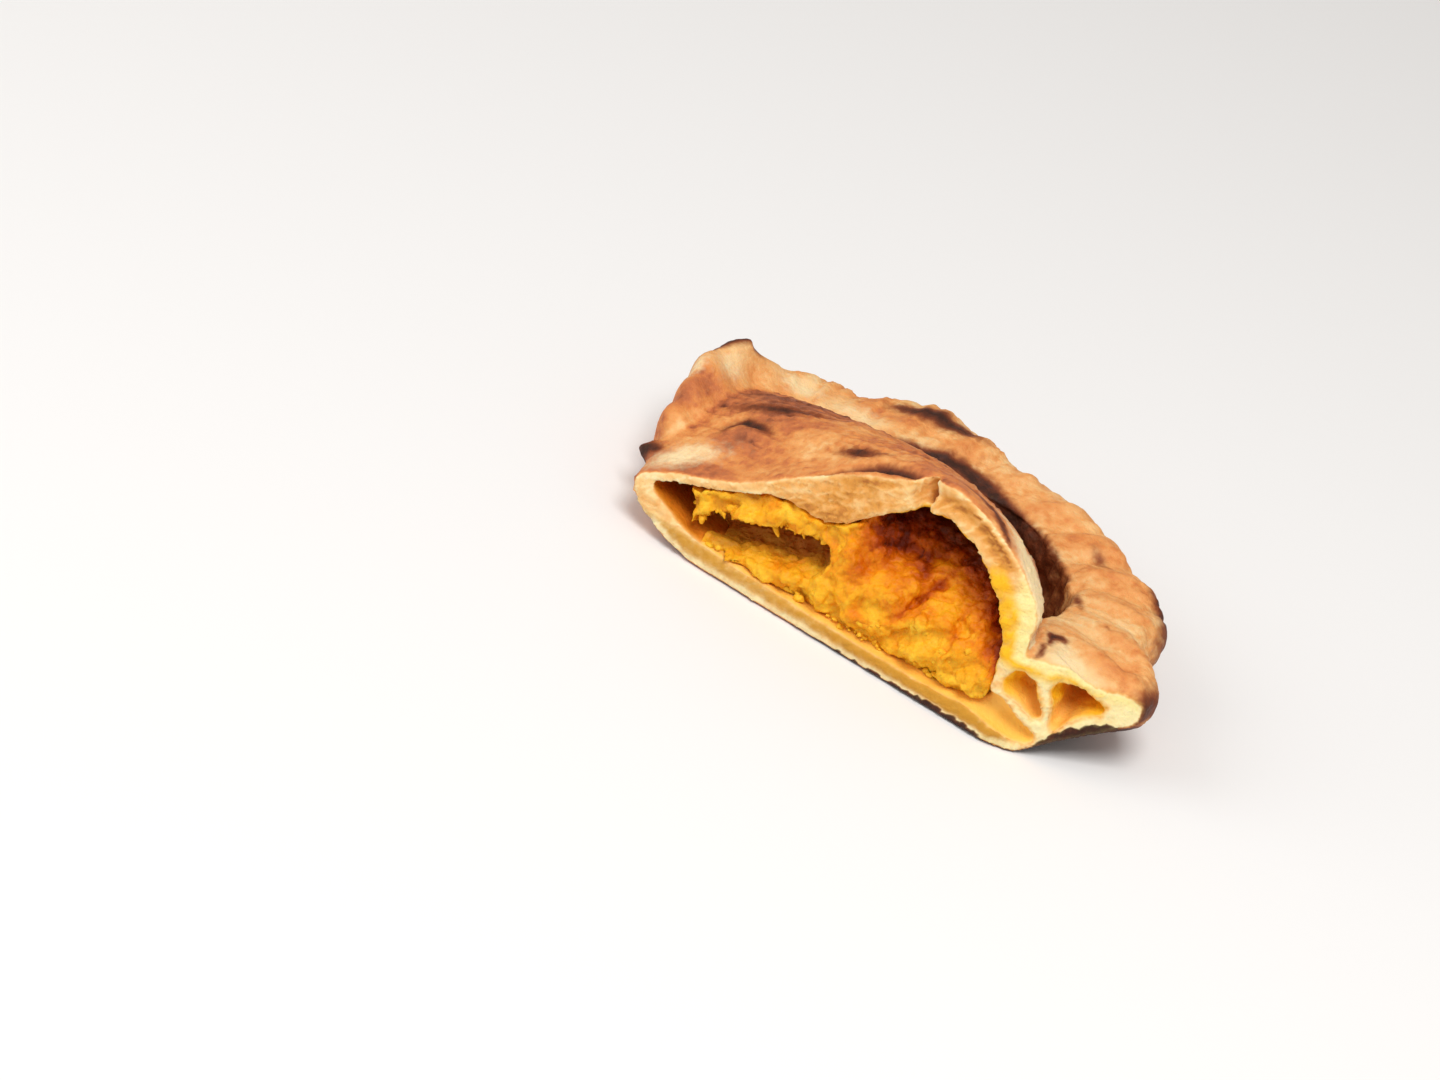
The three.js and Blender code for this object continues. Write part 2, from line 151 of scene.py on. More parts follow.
wall_track, floor_track, rim_track = track(WALL_LINE, True), track(FLOOR_LINE, True), track(RIM_LINE, False)
print("rim's middle at half its length:", rim_track(0.5)[:2].round(1))

# %% [markdown]
# Roughness for food
# Nothing baked is even. Two kinds of seeded noise make every irregular form here: a rolling one for
# wrinkles and swellings, and one of scattered lumps for crumbs, bubbles and grains of cheese. Both are
# computed for whole arrays of places, so the same noise can shape a mesh and paint it.

# %% Rolling noise and scattered lumps
seeded = np.random.default_rng(20)
SHUFFLE = seeded.permutation(256)
SLOPES = seeded.normal(size=(256, 3))
SLOPES /= np.linalg.norm(SLOPES, axis=1, keepdims=True)
SCATTER = seeded.random((256, 3))


def cell_number(cell):
    """One number from 0 to 255 for each cube of a grid, always the same for the same cube."""
    c = cell & 255
    return SHUFFLE[(SHUFFLE[(SHUFFLE[c[..., 0]] + c[..., 1]) & 255] + c[..., 2]) & 255]


def rolling(places, size, seed=0.0):
    """Gradient noise from about -1 to 1 with one swelling each `size`: at each of a cube's 8 corners
    a random slope times the way from it, blended by 6w^5 - 15w^4 + 10w^3."""
    q = places / size + seed
    cell = np.floor(q).astype(int)
    w = q - cell
    fade = w * w * w * (w * (w * 6 - 15) + 10)
    total = np.zeros(q.shape[:-1])
    for corner in product((0, 1), repeat=3):
        share = np.prod(np.where(corner, fade, 1 - fade), axis=-1)
        total += share * np.sum(SLOPES[cell_number(cell + corner)] * (w - corner), axis=-1)
    return 1.7 * total


def lumps(places, size, seed=0.0):
    """Distance to the nearest of scattered centres, one to a cube of `size`: 0 at a centre, 1 far off.
    Also a tone from 0 to 1 that is the same all over one lump."""
    q = places / size + seed
    cell = np.floor(q).astype(int)
    least, tone = np.full(q.shape[:-1], 9.0), np.zeros(q.shape[:-1])
    for corner in product((-1, 0, 1), repeat=3):
        number = cell_number(cell + corner)
        away = np.sum((q - cell - corner - SCATTER[number]) ** 2, axis=-1)
        tone = np.where(away < least, number / 255, tone)
        least = np.minimum(least, away)
    return np.sqrt(least), tone


print("noise from", rolling(seeded.random((4000, 3)) * 90, 7).min().round(2))

# %% [markdown]
# Closed surfaces on a grid
# Every body is a net of rings closed by a pole at each end, as a lathe would leave it, but each ring may
# have any shape. A squared quarter circle gives the section: flat on top, round at the side.


# %% From rings of points to a mesh
def ring_mesh(name, rings, first_pole, last_pole):
    """Closes rings (bodies x rings x columns x 3) into one mesh of separate bodies. A face looks along
    ring step x column step, and each body's numbers start where the one before it ends."""
    bodies, count, columns, _ = rings.shape
    flat = rings.reshape(bodies, -1, 3)
    poles = [np.reshape(pole, (bodies, 1, 3)) for pole in (first_pole, last_pole)]
    points = np.concatenate([poles[0], flat, poles[1]], axis=1)
    size = points.shape[1]
    i, j = np.meshgrid(np.arange(count - 1), np.arange(columns), indexing="ij")

    def at(ring, column):
        """Number of a ring's point, which starts again at 0 after the last column."""
        return 1 + ring * columns + column % columns

    quads = np.stack([at(i, j), at(i + 1, j), at(i + 1, j + 1), at(i, j + 1)], -1).reshape(-1, 4)
    k = np.arange(columns)
    first = np.stack([0 * k, at(0, k), at(0, k + 1)], -1)
    last = np.stack([0 * k + size - 1, at(count - 1, k + 1), at(count - 1, k)], -1)
    start = size * np.arange(bodies)[:, None, None]
    faces = []
    for kind in (quads, first, last):
        faces += (start + kind).reshape(-1, kind.shape[1]).tolist()
    mesh = bpy.data.meshes.new(name)
    mesh.from_pydata(points.reshape(-1, 3).tolist(), [], faces)
    return mesh


def squared_quarter(share, power):
    """How far out and up a squared quarter circle is at a share of the way round: out = sin(a)^(2/power)
    and up = cos(a)^(2/power), with a = 90 degrees x share^(power/2)."""
    angle = (np.pi / 2) * share ** (power / 2)
    return np.sin(angle) ** (2 / power), np.clip(np.cos(angle), 0, 1) ** (2 / power)


def round_mesh(name, profile, power, columns, rows):
    """A round body on rays from the peak: ring i lies at the squared quarter's share i / half on its way
    down to the side, and at the share (rows - i) / half under it, with a pole above and below."""
    i, half = np.arange(1, rows), rows // 2
    above = (i <= half)[:, None]
    out, up = squared_quarter(np.where(i <= half, i, rows - i) / half, power)
    t = np.arange(columns)[None] / columns
    rings = profile(t, out[:, None], up[:, None], above)
    zero, one = np.zeros((1, 1)), np.ones((1, 1))
    poles = [profile(zero, zero, one, np.array([[side]]))[0] for side in (True, False)]
    return ring_mesh(name, rings[None], *poles)


# %% [markdown]
# Dome and floor
# The dome falls from its peak at the cut to the foot of the wall, a little faster where the dough
# sags. Under it lies the flat floor, lifted off the board towards the fold.


# %% The dome and the floor sheet
def dome_height(wall, share, x, y):
    """Peak height - fall x share^power - a soft dent."""
    sag = 3 * bell(x - 18, 12) * bell(y - 5, 14)
    return PEAK[2] - wall[..., 2] * share ** wall[..., 3] - sag


def underside_height(lift, share):
    """1.4 x lift, reached over the outer part of the ray."""
    return 1.4 * lift * ramp(share, 0.72, 1.1)


def from_peak(row, share):
    """The place in plan at a share of the way from the peak to a row's place."""
    return PEAK[0] + share * (row[..., 0] - PEAK[0]), PEAK[1] + share * (row[..., 1] - PEAK[1])


def dome_profile(t, out, up, above):
    """The dome's skin: out along the ray to the wall line, and up from the widest height."""
    wall = wall_track(t)
    x, y = from_peak(wall, out)
    low = underside_height(wall[..., 5], out) + FLOOR_THICKNESS / 2
    far = np.where(above, dome_height(wall, out, x, y), low)
    return np.stack([x, y, wall[..., 4] + (far - wall[..., 4]) * up], -1)


def floor_profile(t, out, up, above):
    """The floor sheet: half its thickness above and below a middle that lifts with the underside."""
    edge = floor_track(t)
    x, y = from_peak(edge, out)
    middle = underside_height(edge[..., 2], out) + FLOOR_THICKNESS / 2
    return np.stack([x, y, middle + np.where(above, 0.5, -0.5) * FLOOR_THICKNESS * up], -1)


dome_mesh = round_mesh("dome", dome_profile, DOME_SQUARENESS, columns=220, rows=72)
floor_mesh = round_mesh("floor_sheet", floor_profile, FLOOR_SQUARENESS, columns=160, rows=16)
print("dome and floor:", len(dome_mesh.polygons), "and", len(floor_mesh.polygons), "faces")

# %% [markdown]
# The rope rim
# The edge is rolled and pinched by hand, which leaves slanted ridges a thumb apart on its top and
# scallops on its outer side. A squared ring is carried along the rim's middle line.


# %% The rolled rim
def ear_height(s):
    """height x exp(-(distance along the rim / side)^1.1), steep before the tip and gentle after it."""
    side = np.where(s < EAR["at"], EAR["steep"], EAR["gentle"])
    return EAR["height"] * np.exp(-((np.abs(s - EAR["at"]) / side) ** 1.1))


def rim_top(along, s, v, top, tilt):
    """Top of the rim: its tilt, a slanted ridge each pitch with finer pinches, fainter at the closed end,
    and the ear on the outer side."""
    ridge = 0.9 * np.sin(2 * np.pi * along / RIDGE_PITCH + 2.2 * v)
    pinch = 0.3 * np.sin(2 * np.pi * along / 4.1 + 3.4 * v + 1.5 * np.sin(along / 9))
    rough = (ridge + pinch) * ramp(v, -1, 0) * (1 - 0.8 * ramp(s, 0.7, 0.75))
    return top + tilt * v + rough + ear_height(s) * ramp(v, -0.3, 0.8)


def rim_edge(v, top, lift):
    """Height of the rim's widest place, higher on its inner side."""
    return top * (0.83 - 0.23 * (v + 1) / 2) + 0.3 * lift * np.maximum(v, 0)


def rim_reach(along, v, half_width):
    """How far a place lies from the middle line, with scallops on the outer side."""
    return v * (half_width + np.where(v > 0, 1.1 * np.sin(2 * np.pi * along / SCALLOP_PITCH + 0.7), 0))


def rim_section(quarter):
    """A squared ring from its top by its inner side to its underside and back by its outer side."""
    j = np.arange(4 * quarter)
    share = (j % quarter) / quarter
    inner, falling = j < 2 * quarter, (j // quarter) % 2 == 0
    turned = np.where(falling, share, 1 - share)
    out_in, up_in = squared_quarter(turned, RIM_INNER_SQUARENESS)
    out_out, up_out = squared_quarter(turned, RIM_OUTER_SQUARENESS)
    v = np.where(inner, -out_in, out_out)
    return v, np.where(inner, up_in, up_out), (j <= quarter) | (j > 3 * quarter)


def rim_rings(rows, quarter):
    """The section at each step: middle + reach x the sideways direction, with the section's height."""
    v, up, above = rim_section(quarter)
    s = np.linspace(0, 1, rows)[:, None]
    row, before, after = rim_track(s), rim_track(s - RIM_STEP / 2), rim_track(s + RIM_STEP / 2)
    run = (after - before)[..., :2]
    run /= np.linalg.norm(run, axis=-1, keepdims=True)
    along = s * RIM_LENGTH
    top, tilt, lift = row[..., 3], row[..., 4], row[..., 5]
    edge = rim_edge(v, top, lift)
    low = RIM_REST + lift * ramp(v, -0.7, 1.3)
    z = edge + (np.where(above, rim_top(along, s, v, top, tilt), low) - edge) * up
    reach = rim_reach(along, v, row[..., 2])
    return np.stack([row[..., 0] + reach * run[..., 1], row[..., 1] - reach * run[..., 0], z], -1)


def rim_pole(s):
    """The point that closes an end: on the middle line, at half the height of the top."""
    row = rim_track(s)
    return np.array([row[0], row[1], row[3] / 2])


rim_mesh = ring_mesh("rolled_rim", rim_rings(rows=345, quarter=9)[None], rim_pole(0.0), rim_pole(1.0))
print("rim:", len(rim_mesh.polygons), "faces,", RIM_LENGTH, "mm long")

# %% [markdown]
# The hollow
# Steam blows the dough up over the filling, so the dome is hollow, with a thick soft lip over the
# middle. The hollow is one more round body, a little smaller than the dome, and it is taken away later.


# %% The hollow under the roof
def roof_thickness(x, y):
    """Thin on the left, thick on the right, with a soft swelling at the lip."""
    lip = LIP["thickness"] * bell(x - LIP["x"], LIP["wide"]) * bell(y - LIP["y"], LIP["deep"])
    return ROOF["left"] + (ROOF["right"] - ROOF["left"]) * ramp(x, ROOF["start"], ROOF["end"]) + lip


def hollow_profile(gap):
    """The hollow's side: out along the ray to its share of the wall line, less the gap, and up from the
    edge height to the roof (dome height - thickness - gap) or down to the floor."""
    def profile(t, out, up, above):
        """The hollow's side for one gap."""
        wall = wall_track(t)
        length = np.hypot(wall[..., 0] - PEAK[0], wall[..., 1] - PEAK[1])
        inner = out * (wall[..., 6] - gap / length)
        x, y = from_peak(wall, inner)
        roof = dome_height(wall, inner, x, y) - roof_thickness(x, y) - gap
        base = underside_height(wall[..., 5], inner) + FLOOR_THICKNESS + gap
        edge = HOLLOW_EDGE + 0.2 * wall[..., 5]
        return np.stack([x, y, edge + (np.where(above, roof, base) - edge) * up], -1)

    return profile


away = [round_mesh("hollow", hollow_profile(0), HOLLOW_SQUARENESS, columns=200, rows=60)]
print("hollow:", len(away[0].polygons), "faces")

# %% [markdown]
# The cut
# A knife drags soft dough a little, so the cut is a plane with a shallow unevenness and a torn notch.
# Its depth is a function of the place on it. A block whose back has that depth takes away all that lies
# in front, and the same block with another depth will shape the face of the filling.


# %% The cut and a block in front of it
def cut_depth(x, z):
    """Depth of the cut: leaning back with height, swinging back past the wall, with the notch."""
    notch = NOTCH["depth"] * bell(x - NOTCH["x"], NOTCH["wide"]) * bell(z - NOTCH["z"], NOTCH["high"])
    return CUT_LEAN * np.maximum(z, 0) + CUT_SWING * np.maximum(x - CUT_SWING_FROM, 0) + notch


def torn_cut_depth(x, z):
    """The cut with a dragged surface: swellings of 0.14 mm, 0.44 mm on the thick lip, and finer ones."""
    places = np.stack([x, 0 * x, z], -1)
    soft = bell(x - 41, 13) * bell(z - 29, 9)
    return cut_depth(x, z) + (0.14 + 0.3 * soft) * rolling(places, 2.6) + 0.12 * rolling(places, 1.3, 5.0)


def front_mesh(name, depth, x_range, z_range, columns, rows):
    """A block in front of depth(x, z): each ring runs along the cut and back along a far plane."""
    x = np.linspace(*x_range, columns)
    z = np.linspace(*z_range, rows)[:, None]
    near = np.stack(np.broadcast_arrays(x, depth(x + 0 * z, z + 0 * x), z), -1)
    far = np.stack(np.broadcast_arrays(x[::-1], float(FRONT_PLANE), z), -1)
    rings = np.concatenate([near, far], axis=1)
    middle = np.mean(x_range)
    return ring_mesh(name, rings[None], *([middle, FRONT_MIDDLE, z] for z in z_range))


dough_front = front_mesh("dough_front", torn_cut_depth, (-30, 120), (-10, 50), columns=260, rows=110)
print("in front of the cut:", len(dough_front.polygons), "faces")

# %% [markdown]
# Pockets of the seam
# Where floor, roof and rim meet, the pleated seam doesn't close fully. The cut shows its openings as
# rounded slits, each drawn by its outline, and behind the cut they taper off within a centimetre.


# %% Shallow pockets behind the cut
def pocket_mesh(name, outline, depth):
    """A pocket that starts 4 mm before the cut, shrinks to two fifths towards its end and bends aside by
    back / 4 + 0.008 x back^2."""
    line = track(outline, True)
    middle = np.mean(np.array(outline, float), axis=0)
    share = np.linspace(1, 0, 14)[:, None]
    back = -4 + (depth + 4) * share
    size = 1 - 0.6 * ramp(share, min(4 / depth, 0.8), 1)
    flat = line(np.arange(40)[None] / 40)
    x, z = middle[0] + size * (flat[..., 0] - middle[0]), middle[1] + size * (flat[..., 1] - middle[1])
    bend = 0.25 * np.maximum(back, 0) + 0.008 * back * back
    rings = np.stack([x - bend, cut_depth(x, z) + back, z], -1)
    poles = [rings[0].mean(0), rings[-1].mean(0)]
    return ring_mesh(name, rings[None], *poles)


# Name, depth, and the outline at the cut in x and z
POCKETS = [
    ("seam_toe", 3.4, [
        (75, 9.6), (81, 9.9), (85.6, 9.7), (88.2, 8.2), (91, 6), (93.4, 4.6), (93, 2.9), (89.5, 2.8),
        (85, 4), (80, 4.9), (75, 5.4),
    ]),
    ("pleat_pocket", 6, [
        (84.9, 12), (85.4, 15), (87.2, 16.7), (89.3, 15.5), (91.2, 13.2), (92.5, 10.4), (93.4, 7.6),
        (91.6, 8.3), (89.4, 9.8), (87, 11.3),
    ]),
    ("rim_hollow", 9.5, [
        (92.8, 15.9), (95, 16.4), (97.8, 16.4), (101, 15.6), (102.9, 14.4), (102.7, 13), (100.2, 11.5),
        (98.2, 9.9), (97, 8), (96.1, 6.4), (95.1, 7.6), (94.8, 10.2), (93.9, 13.2),
    ]),
]
away += [pocket_mesh(name, outline, depth) for name, depth, outline in POCKETS] + [dough_front]
print("taken away:", [mesh.name for mesh in away])

# %% [markdown]
# One skin for the dough
# The bodies are joined and cut with Boolean modifiers, which leave long thin faces along every edge. A
# voxel remesh then wraps the result in one even net of small faces, and it rounds the creases as dough
# does. That net is fine enough to carry the wrinkles.


# %% Join, cut and wrap
def in_scene(name, data):
    """A new object with its data, linked to the scene."""
    made = bpy.data.objects.new(name, data)
    bpy.context.scene.collection.objects.link(made)
    return made


def shaped(name, start, steps, voxel):
    """Runs Boolean steps on a mesh and wraps the result in an even net of `voxel` millimetres."""
    solid = in_scene(name + "_solid", start)
    tools = []
    for operation, mesh in steps:
        tool = in_scene(mesh.name, mesh)
        cut = solid.modifiers.new(mesh.name, "BOOLEAN")
        cut.operation, cut.object, cut.solver = operation, tool, "MANIFOLD"
        tools.append(tool)
    net = solid.modifiers.new("net", "REMESH")
    net.mode, net.voxel_size = "VOXEL", voxel
    wrapped = bpy.data.meshes.new_from_object(solid.evaluated_get(bpy.context.evaluated_depsgraph_get()))
    for used in [solid, *tools]:
        bpy.data.objects.remove(used)
    return wrapped


crust_steps = [("UNION", dome_mesh), ("UNION", rim_mesh)] + [("DIFFERENCE", mesh) for mesh in away]
crust_mesh = shaped("baked_crust", floor_mesh, crust_steps, CRUST_NET)
print("crust net:", len(crust_mesh.polygons), "faces")

# %% [markdown]
# Reading and moving a net
# The net's points come out as one array. Their neighbours come from the edges, which is enough to
# soften any value over the surface, or the surface itself.


# %% Points, normals and softening
def points_of(mesh):
    """The net's points as rows of x, y and z."""
    flat = np.empty(3 * len(mesh.vertices), np.float32)
    mesh.vertices.foreach_get("co", flat)
    return flat.reshape(-1, 3).astype(float)


def normals_of(mesh):
    """The outward direction at each point, as rows of x, y and z."""
    flat = np.empty(3 * len(mesh.vertices), np.float32)
    mesh.vertex_normals.foreach_get("vector", flat)
    return flat.reshape(-1, 3).astype(float)


def move_points(mesh, points):
    """Puts each point at a new place."""
    mesh.vertices.foreach_set("co", points.astype(np.float32).ravel())
    mesh.update()


def softened(mesh, values, times, share=0.5):
    """Moves each value a share of the way to the mean of its neighbours along the edges, `times` times."""
    ends = np.empty(2 * len(mesh.edges), np.int32)
    mesh.edges.foreach_get("vertices", ends)
    a, b = ends.reshape(-1, 2).T
    count = len(mesh.vertices)
    degree = np.bincount(a, minlength=count) + np.bincount(b, minlength=count)
    columns = values.reshape(count, -1).astype(float)
    for _ in range(times):
        total = [np.bincount(a, c[b], count) + np.bincount(b, c[a], count) for c in columns.T]
        columns = (1 - share) * columns + share * np.stack(total, -1) / degree[:, None]
    return columns.reshape(values.shape)


move_points(crust_mesh, softened(crust_mesh, points_of(crust_mesh), 2))
print("softened", len(crust_mesh.vertices), "points")

# %% [markdown]
# Where on the dough is this point
# Colour and relief depend on the place: outer skin, cut face, or the steamed inner side. Each body has
# a level that is under 1 inside it. A probe a little way out along the normal says what a point looks
# into: open air, the space in front of the cut, or a space inside the dough.


# %% Levels of the bodies
def ray_table(line):
    """Steps along a line, and the angle of the ray from the peak to the line at each."""
    t = np.linspace(0, 1, 3000)
    row = line(t)
    angle = np.unwrap(np.arctan2(row[:, 1] - PEAK[1], row[:, 0] - PEAK[0]))
    return t, angle


def on_ray(x, y, line, table):
    """The line's row on the ray from the peak through a place, and the place's share of the way there."""
    t, angle = table
    turn = (np.arctan2(y - PEAK[1], x - PEAK[0]) - angle[0]) % (2 * np.pi)
    row = line(np.interp(turn, angle - angle[0], t))
    length = np.hypot(row[..., 0] - PEAK[0], row[..., 1] - PEAK[1])
    return row, np.hypot(x - PEAK[0], y - PEAK[1]) / length


def level(out, up, power):
    """(|out|^power + |up|^power)^(1/power): 1 on the surface of a squared body."""
    return (np.abs(out) ** power + np.abs(up) ** power) ** (1 / power)


wall_table, floor_table = ray_table(wall_track), ray_table(floor_track)


def dome_level(x, y, z):
    """Level of the dome: out is the share of the ray, up the share of the way from the widest height."""
    wall, share = on_ray(x, y, wall_track, wall_table)
    top, low = dome_height(wall, share, x, y), underside_height(wall[..., 5], share) + FLOOR_THICKNESS / 2
    far = np.where(z > wall[..., 4], np.maximum(top - wall[..., 4], 0.5), wall[..., 4] - low)
    return level(share, (z - wall[..., 4]) / far, DOME_SQUARENESS)


def floor_level(x, y, z):
    """Level of the floor sheet, from its share of the ray and its height over its middle."""
    edge, share = on_ray(x, y, floor_track, floor_table)
    middle = underside_height(edge[..., 2], share) + FLOOR_THICKNESS / 2
    return level(share, (z - middle) / (0.5 * FLOOR_THICKNESS), FLOOR_SQUARENESS)


def rim_place(x, y):
    """The rim's share of its length next to a place in plan, and the signed distance from its middle."""
    s = np.linspace(0, 1, 600)
    row = rim_track(s)
    run = rim_track(s + 1e-3) - rim_track(s - 1e-3)
    found = np.concatenate([
        np.argmin((px[:, None] - row[:, 0]) ** 2 + (py[:, None] - row[:, 1]) ** 2, axis=1)
        for px, py in zip(np.array_split(x, 20), np.array_split(y, 20))
    ])
    side = np.stack([run[found, 1], -run[found, 0]], -1)
    side /= np.linalg.norm(side, axis=-1, keepdims=True)
    return s[found], (x - row[found, 0]) * side[:, 0] + (y - row[found, 1]) * side[:, 1]


def rim_level(x, y, z):
    """Level of the rim, from the share of its half width and of the way up or down from its edge."""
    s, reach = rim_place(x, y)
    row = rim_track(s)
    along = s * RIM_LENGTH
    wide = rim_reach(along, np.where(reach > 0, 1.0, -1.0), row[:, 2])
    v = reach / np.abs(wide)
    shown = np.clip(v, -1, 1)
    edge = rim_edge(shown, row[:, 3], row[:, 5])
    high = rim_top(along, s, shown, row[:, 3], row[:, 4]) - edge
    low = edge - RIM_REST - row[:, 5] * ramp(shown, -0.7, 1.3)
    up = (z - edge) / np.where(z > edge, np.maximum(high, 0.5), np.maximum(low, 0.5))
    return np.where(v < 0, level(v, up, RIM_INNER_SQUARENESS), level(v, up, RIM_OUTER_SQUARENESS))


def in_dough_bodies(p):
    """True where the least of the three levels is under 1."""
    x, y, z = p.T
    return np.minimum.reduce([dome_level(x, y, z), floor_level(x, y, z), rim_level(x, y, z)]) < 1


print("levels at the peak's foot:", dome_level(*PEAK[:, None] * [[1], [1], [0.5]]).round(2))

# %% [markdown]
# Sides of the dough
# With the levels, the probes sort the crust's points. One that ends inside the bodies but before the cut
# stands on the cut face, and one that ends inside them behind the cut looks into the hollow.


# %% Sides of the crust
def sides(mesh, reach=(0.9, 1.5)):
    """Shares of each point that belong to the cut face (a probe stands inside the bodies but before the
    cut) and to the inner side of the dough (inside the bodies and behind the cut)."""
    p, n = points_of(mesh), normals_of(mesh)
    cut, inner = np.zeros(len(p)), np.zeros(len(p))
    for step in reach:
        q = p + step * n
        covered = in_dough_bodies(q)
        ahead = q[:, 1] < cut_depth(q[:, 0], q[:, 2]) - 0.25 * step
        cut += (covered & ahead & (n[:, 1] < -0.35)) / len(reach)
        inner += (covered & ~ahead) / len(reach)
    return softened(mesh, cut, 1), softened(mesh, inner, 2)


cut_face, inner_side = sides(crust_mesh)
outer_side = np.clip(1 - cut_face - inner_side, 0, 1)
print("share of cut, inner, outer:", [round(float(m.mean()), 2) for m in (cut_face, inner_side, outer_side)])

# %% [markdown]
# Drawn marks
# Burns, folds and bare places lie where the oven and the hands left them, and some dark lines are
# painted shade in folds and gaps, so they are drawn. A spot is a soft ellipse. A stroke is a soft line
# through a few places, with its own width and strength at each.


# %% Spots, strokes and nearest distances
def spots(rows, x, y):
    """The sum of soft ellipses: strength x exp(-(u/length)^2 - (w/width)^2) along and across each."""
    total = np.zeros(np.shape(x))
    for sx, sy, length, width, turn, strength in rows:
        c, s = np.cos(np.radians(turn)), np.sin(np.radians(turn))
        u, w = (x - sx) * c + (y - sy) * s, (y - sy) * c - (x - sx) * s
        total += strength * bell(u, length) * bell(w, width)
    return total


def strokes(lines, x, y):
    """The strongest of all spans of all lines, each strength x exp(-(distance / width)^2), with width
    and strength running evenly from one row (x, y, width, strength) to the next."""
    best = np.zeros(np.shape(x))
    for line in lines:
        for (ax, ay, a_width, a_strength), (bx, by, b_width, b_strength) in zip(line[:-1], line[1:]):
            dx, dy = bx - ax, by - ay
            share = np.clip(((x - ax) * dx + (y - ay) * dy) / (dx * dx + dy * dy), 0, 1)
            distance = np.hypot(x - ax - share * dx, y - ay - share * dy)
            width = a_width + share * (b_width - a_width)
            best = np.maximum(best, (a_strength + share * (b_strength - a_strength)) * bell(distance, width))
    return best


def nearest(places, others):
    """Distance from each place to the nearest other: the least sqrt(|a|^2 + |b|^2 - 2 a.b)."""
    found = []
    for block in np.array_split(places, max(1, len(places) // 500)):
        squares = np.sum(block**2, 1)[:, None] + np.sum(others**2, 1)[None] - 2 * block @ others.T
        found.append(np.sqrt(np.maximum(squares.min(axis=1), 0)))
    return np.concatenate(found)


print("a stroke's strength 1 mm aside:", strokes([[(0, 0, 1, 1), (5, 0, 1, 1)]], 2.0, 1.0).round(2))

# %% [markdown]
# Where the marks lie
# Rows are x, y, width and strength on the plan. The crease is a fold that opened over the lip, and its
# dark line is painted shade, as are the fold arch and the streak behind it. The trough line is painted
# shade in the gap between dome and rim, and the rest are scorched crests.

# %% Lines and spots on the crust
# Painted shade in the crease over the lip, which is also sunk in the relief
CREASE = [
    (32.5, 6.2, 0.8, 0.3), (36, 8, 1.3, 0.8), (39.4, 9.4, 1.7, 1.1), (43, 10.3, 1.9, 1.2),
    (46, 10, 1.9, 1.2), (50.6, 9.4, 1.4, 0.8),
]
# A line of painted shade in the notch of the cut, which is also sunk in the relief
NOTCH_LINE = [(55.8, 34.4, 0.6, 0.5), (55.1, 37, 0.8, 1), (54.5, 40, 0.8, 1)]
# Painted shade under the fold arch, which is also raised in the relief
FOLD_ARCH = [
    (3.8, 16.5, 1.0, 0.3), (4.5, 20, 1.5, 0.8), (6.5, 21.8, 1.7, 1.1), (10, 20.9, 1.6, 1),
    (14.8, 19.2, 1.1, 0.4),
]
# Painted shade in the gap between dome and rim, along the rim's inner side
TROUGH_BURN = [
    (24, 46.8, 1.2, 0.2), (30, 48.6, 1.8, 0.6), (34.2, 49.9, 2.2, 0.9), (38.1, 51.5, 2.6, 1),
    (41.7, 52.8, 2.8, 1), (46.4, 52.2, 2.8, 1), (50.2, 51.4, 2.6, 1), (54.5, 50, 2.3, 0.9),
    (59.7, 48.6, 2.0, 0.8), (65.2, 46.2, 1.8, 0.7), (70, 43.2, 1.6, 0.6), (77, 37.2, 1.3, 0.5),
]
DARK_LINES = [
    CREASE, FOLD_ARCH,
    [(29, 15, 1.0, 0.2), (35.5, 14.8, 2.0, 1.0), (42, 15.4, 1.2, 0.3)],
    # Painted shade under an overhanging fold
    [(-1, 26, 1.4, 0.3), (5, 27.2, 2.2, 0.7), (11, 27.9, 2.4, 1.0), (17, 28.6, 1.9, 0.7), (25, 30, 1.6, 0.3)],
    [(58, 13.8, 0.8, 0.2), (64, 13.6, 1.1, 0.7), (67.2, 12.8, 1.2, 0.85), (70.6, 10.8, 1.2, 0.85),
     (73.6, 8.4, 1.0, 0.7), (75.6, 6.8, 0.7, 0.3)],
    [(18, 59, 1.4, 0.3), (22.5, 59.8, 2.4, 0.8), (27, 60.8, 3.0, 1), (31.5, 62, 3.0, 1), (36, 62.8, 2.6, 0.9),
     (41, 63, 1.6, 0.4)],
    [(-15, 26, 1.2, 0.3), (-15, 33, 1.6, 0.5), (-14.2, 40, 1.9, 0.75), (-11.8, 45.4, 2.4, 1),
     (-8, 48, 2.0, 0.8)],
    [(-10, 15.4, 1.0, 0.6), (-8, 13, 1.7, 1.2), (-5.6, 11.2, 1.4, 1.0), (-4, 12.4, 0.9, 0.4)],
    [(90, 48.8, 2, 0.4), (94.4, 47, 3, 0.9), (98.4, 43, 2.8, 0.85), (101.5, 37, 2, 0.4)],
    [(106.5, 27, 2, 0.4), (109, 20, 3, 0.9), (110, 14, 3, 0.9), (110, 8, 2, 0.6), (108, 3, 2, 0.5)],
    [(75.2, 50, 1.1, 0.3), (78.1, 48.6, 1.5, 0.65), (81.2, 46.7, 1.1, 0.3)],
    [(81.2, 33, 0.8, 0.4), (83, 30.9, 1.1, 0.75), (85, 29.2, 0.8, 0.4)],
    [(88.2, 10.8, 0.7, 0.7), (87.9, 13.4, 1.0, 1), (89.6, 14.8, 0.9, 0.9), (90.4, 13.6, 0.6, 0.4)],
    [(87.6, 9.4, 0.8, 0.7), (88.3, 7.2, 0.8, 0.8), (88.3, 5, 0.6, 0.4)],
]
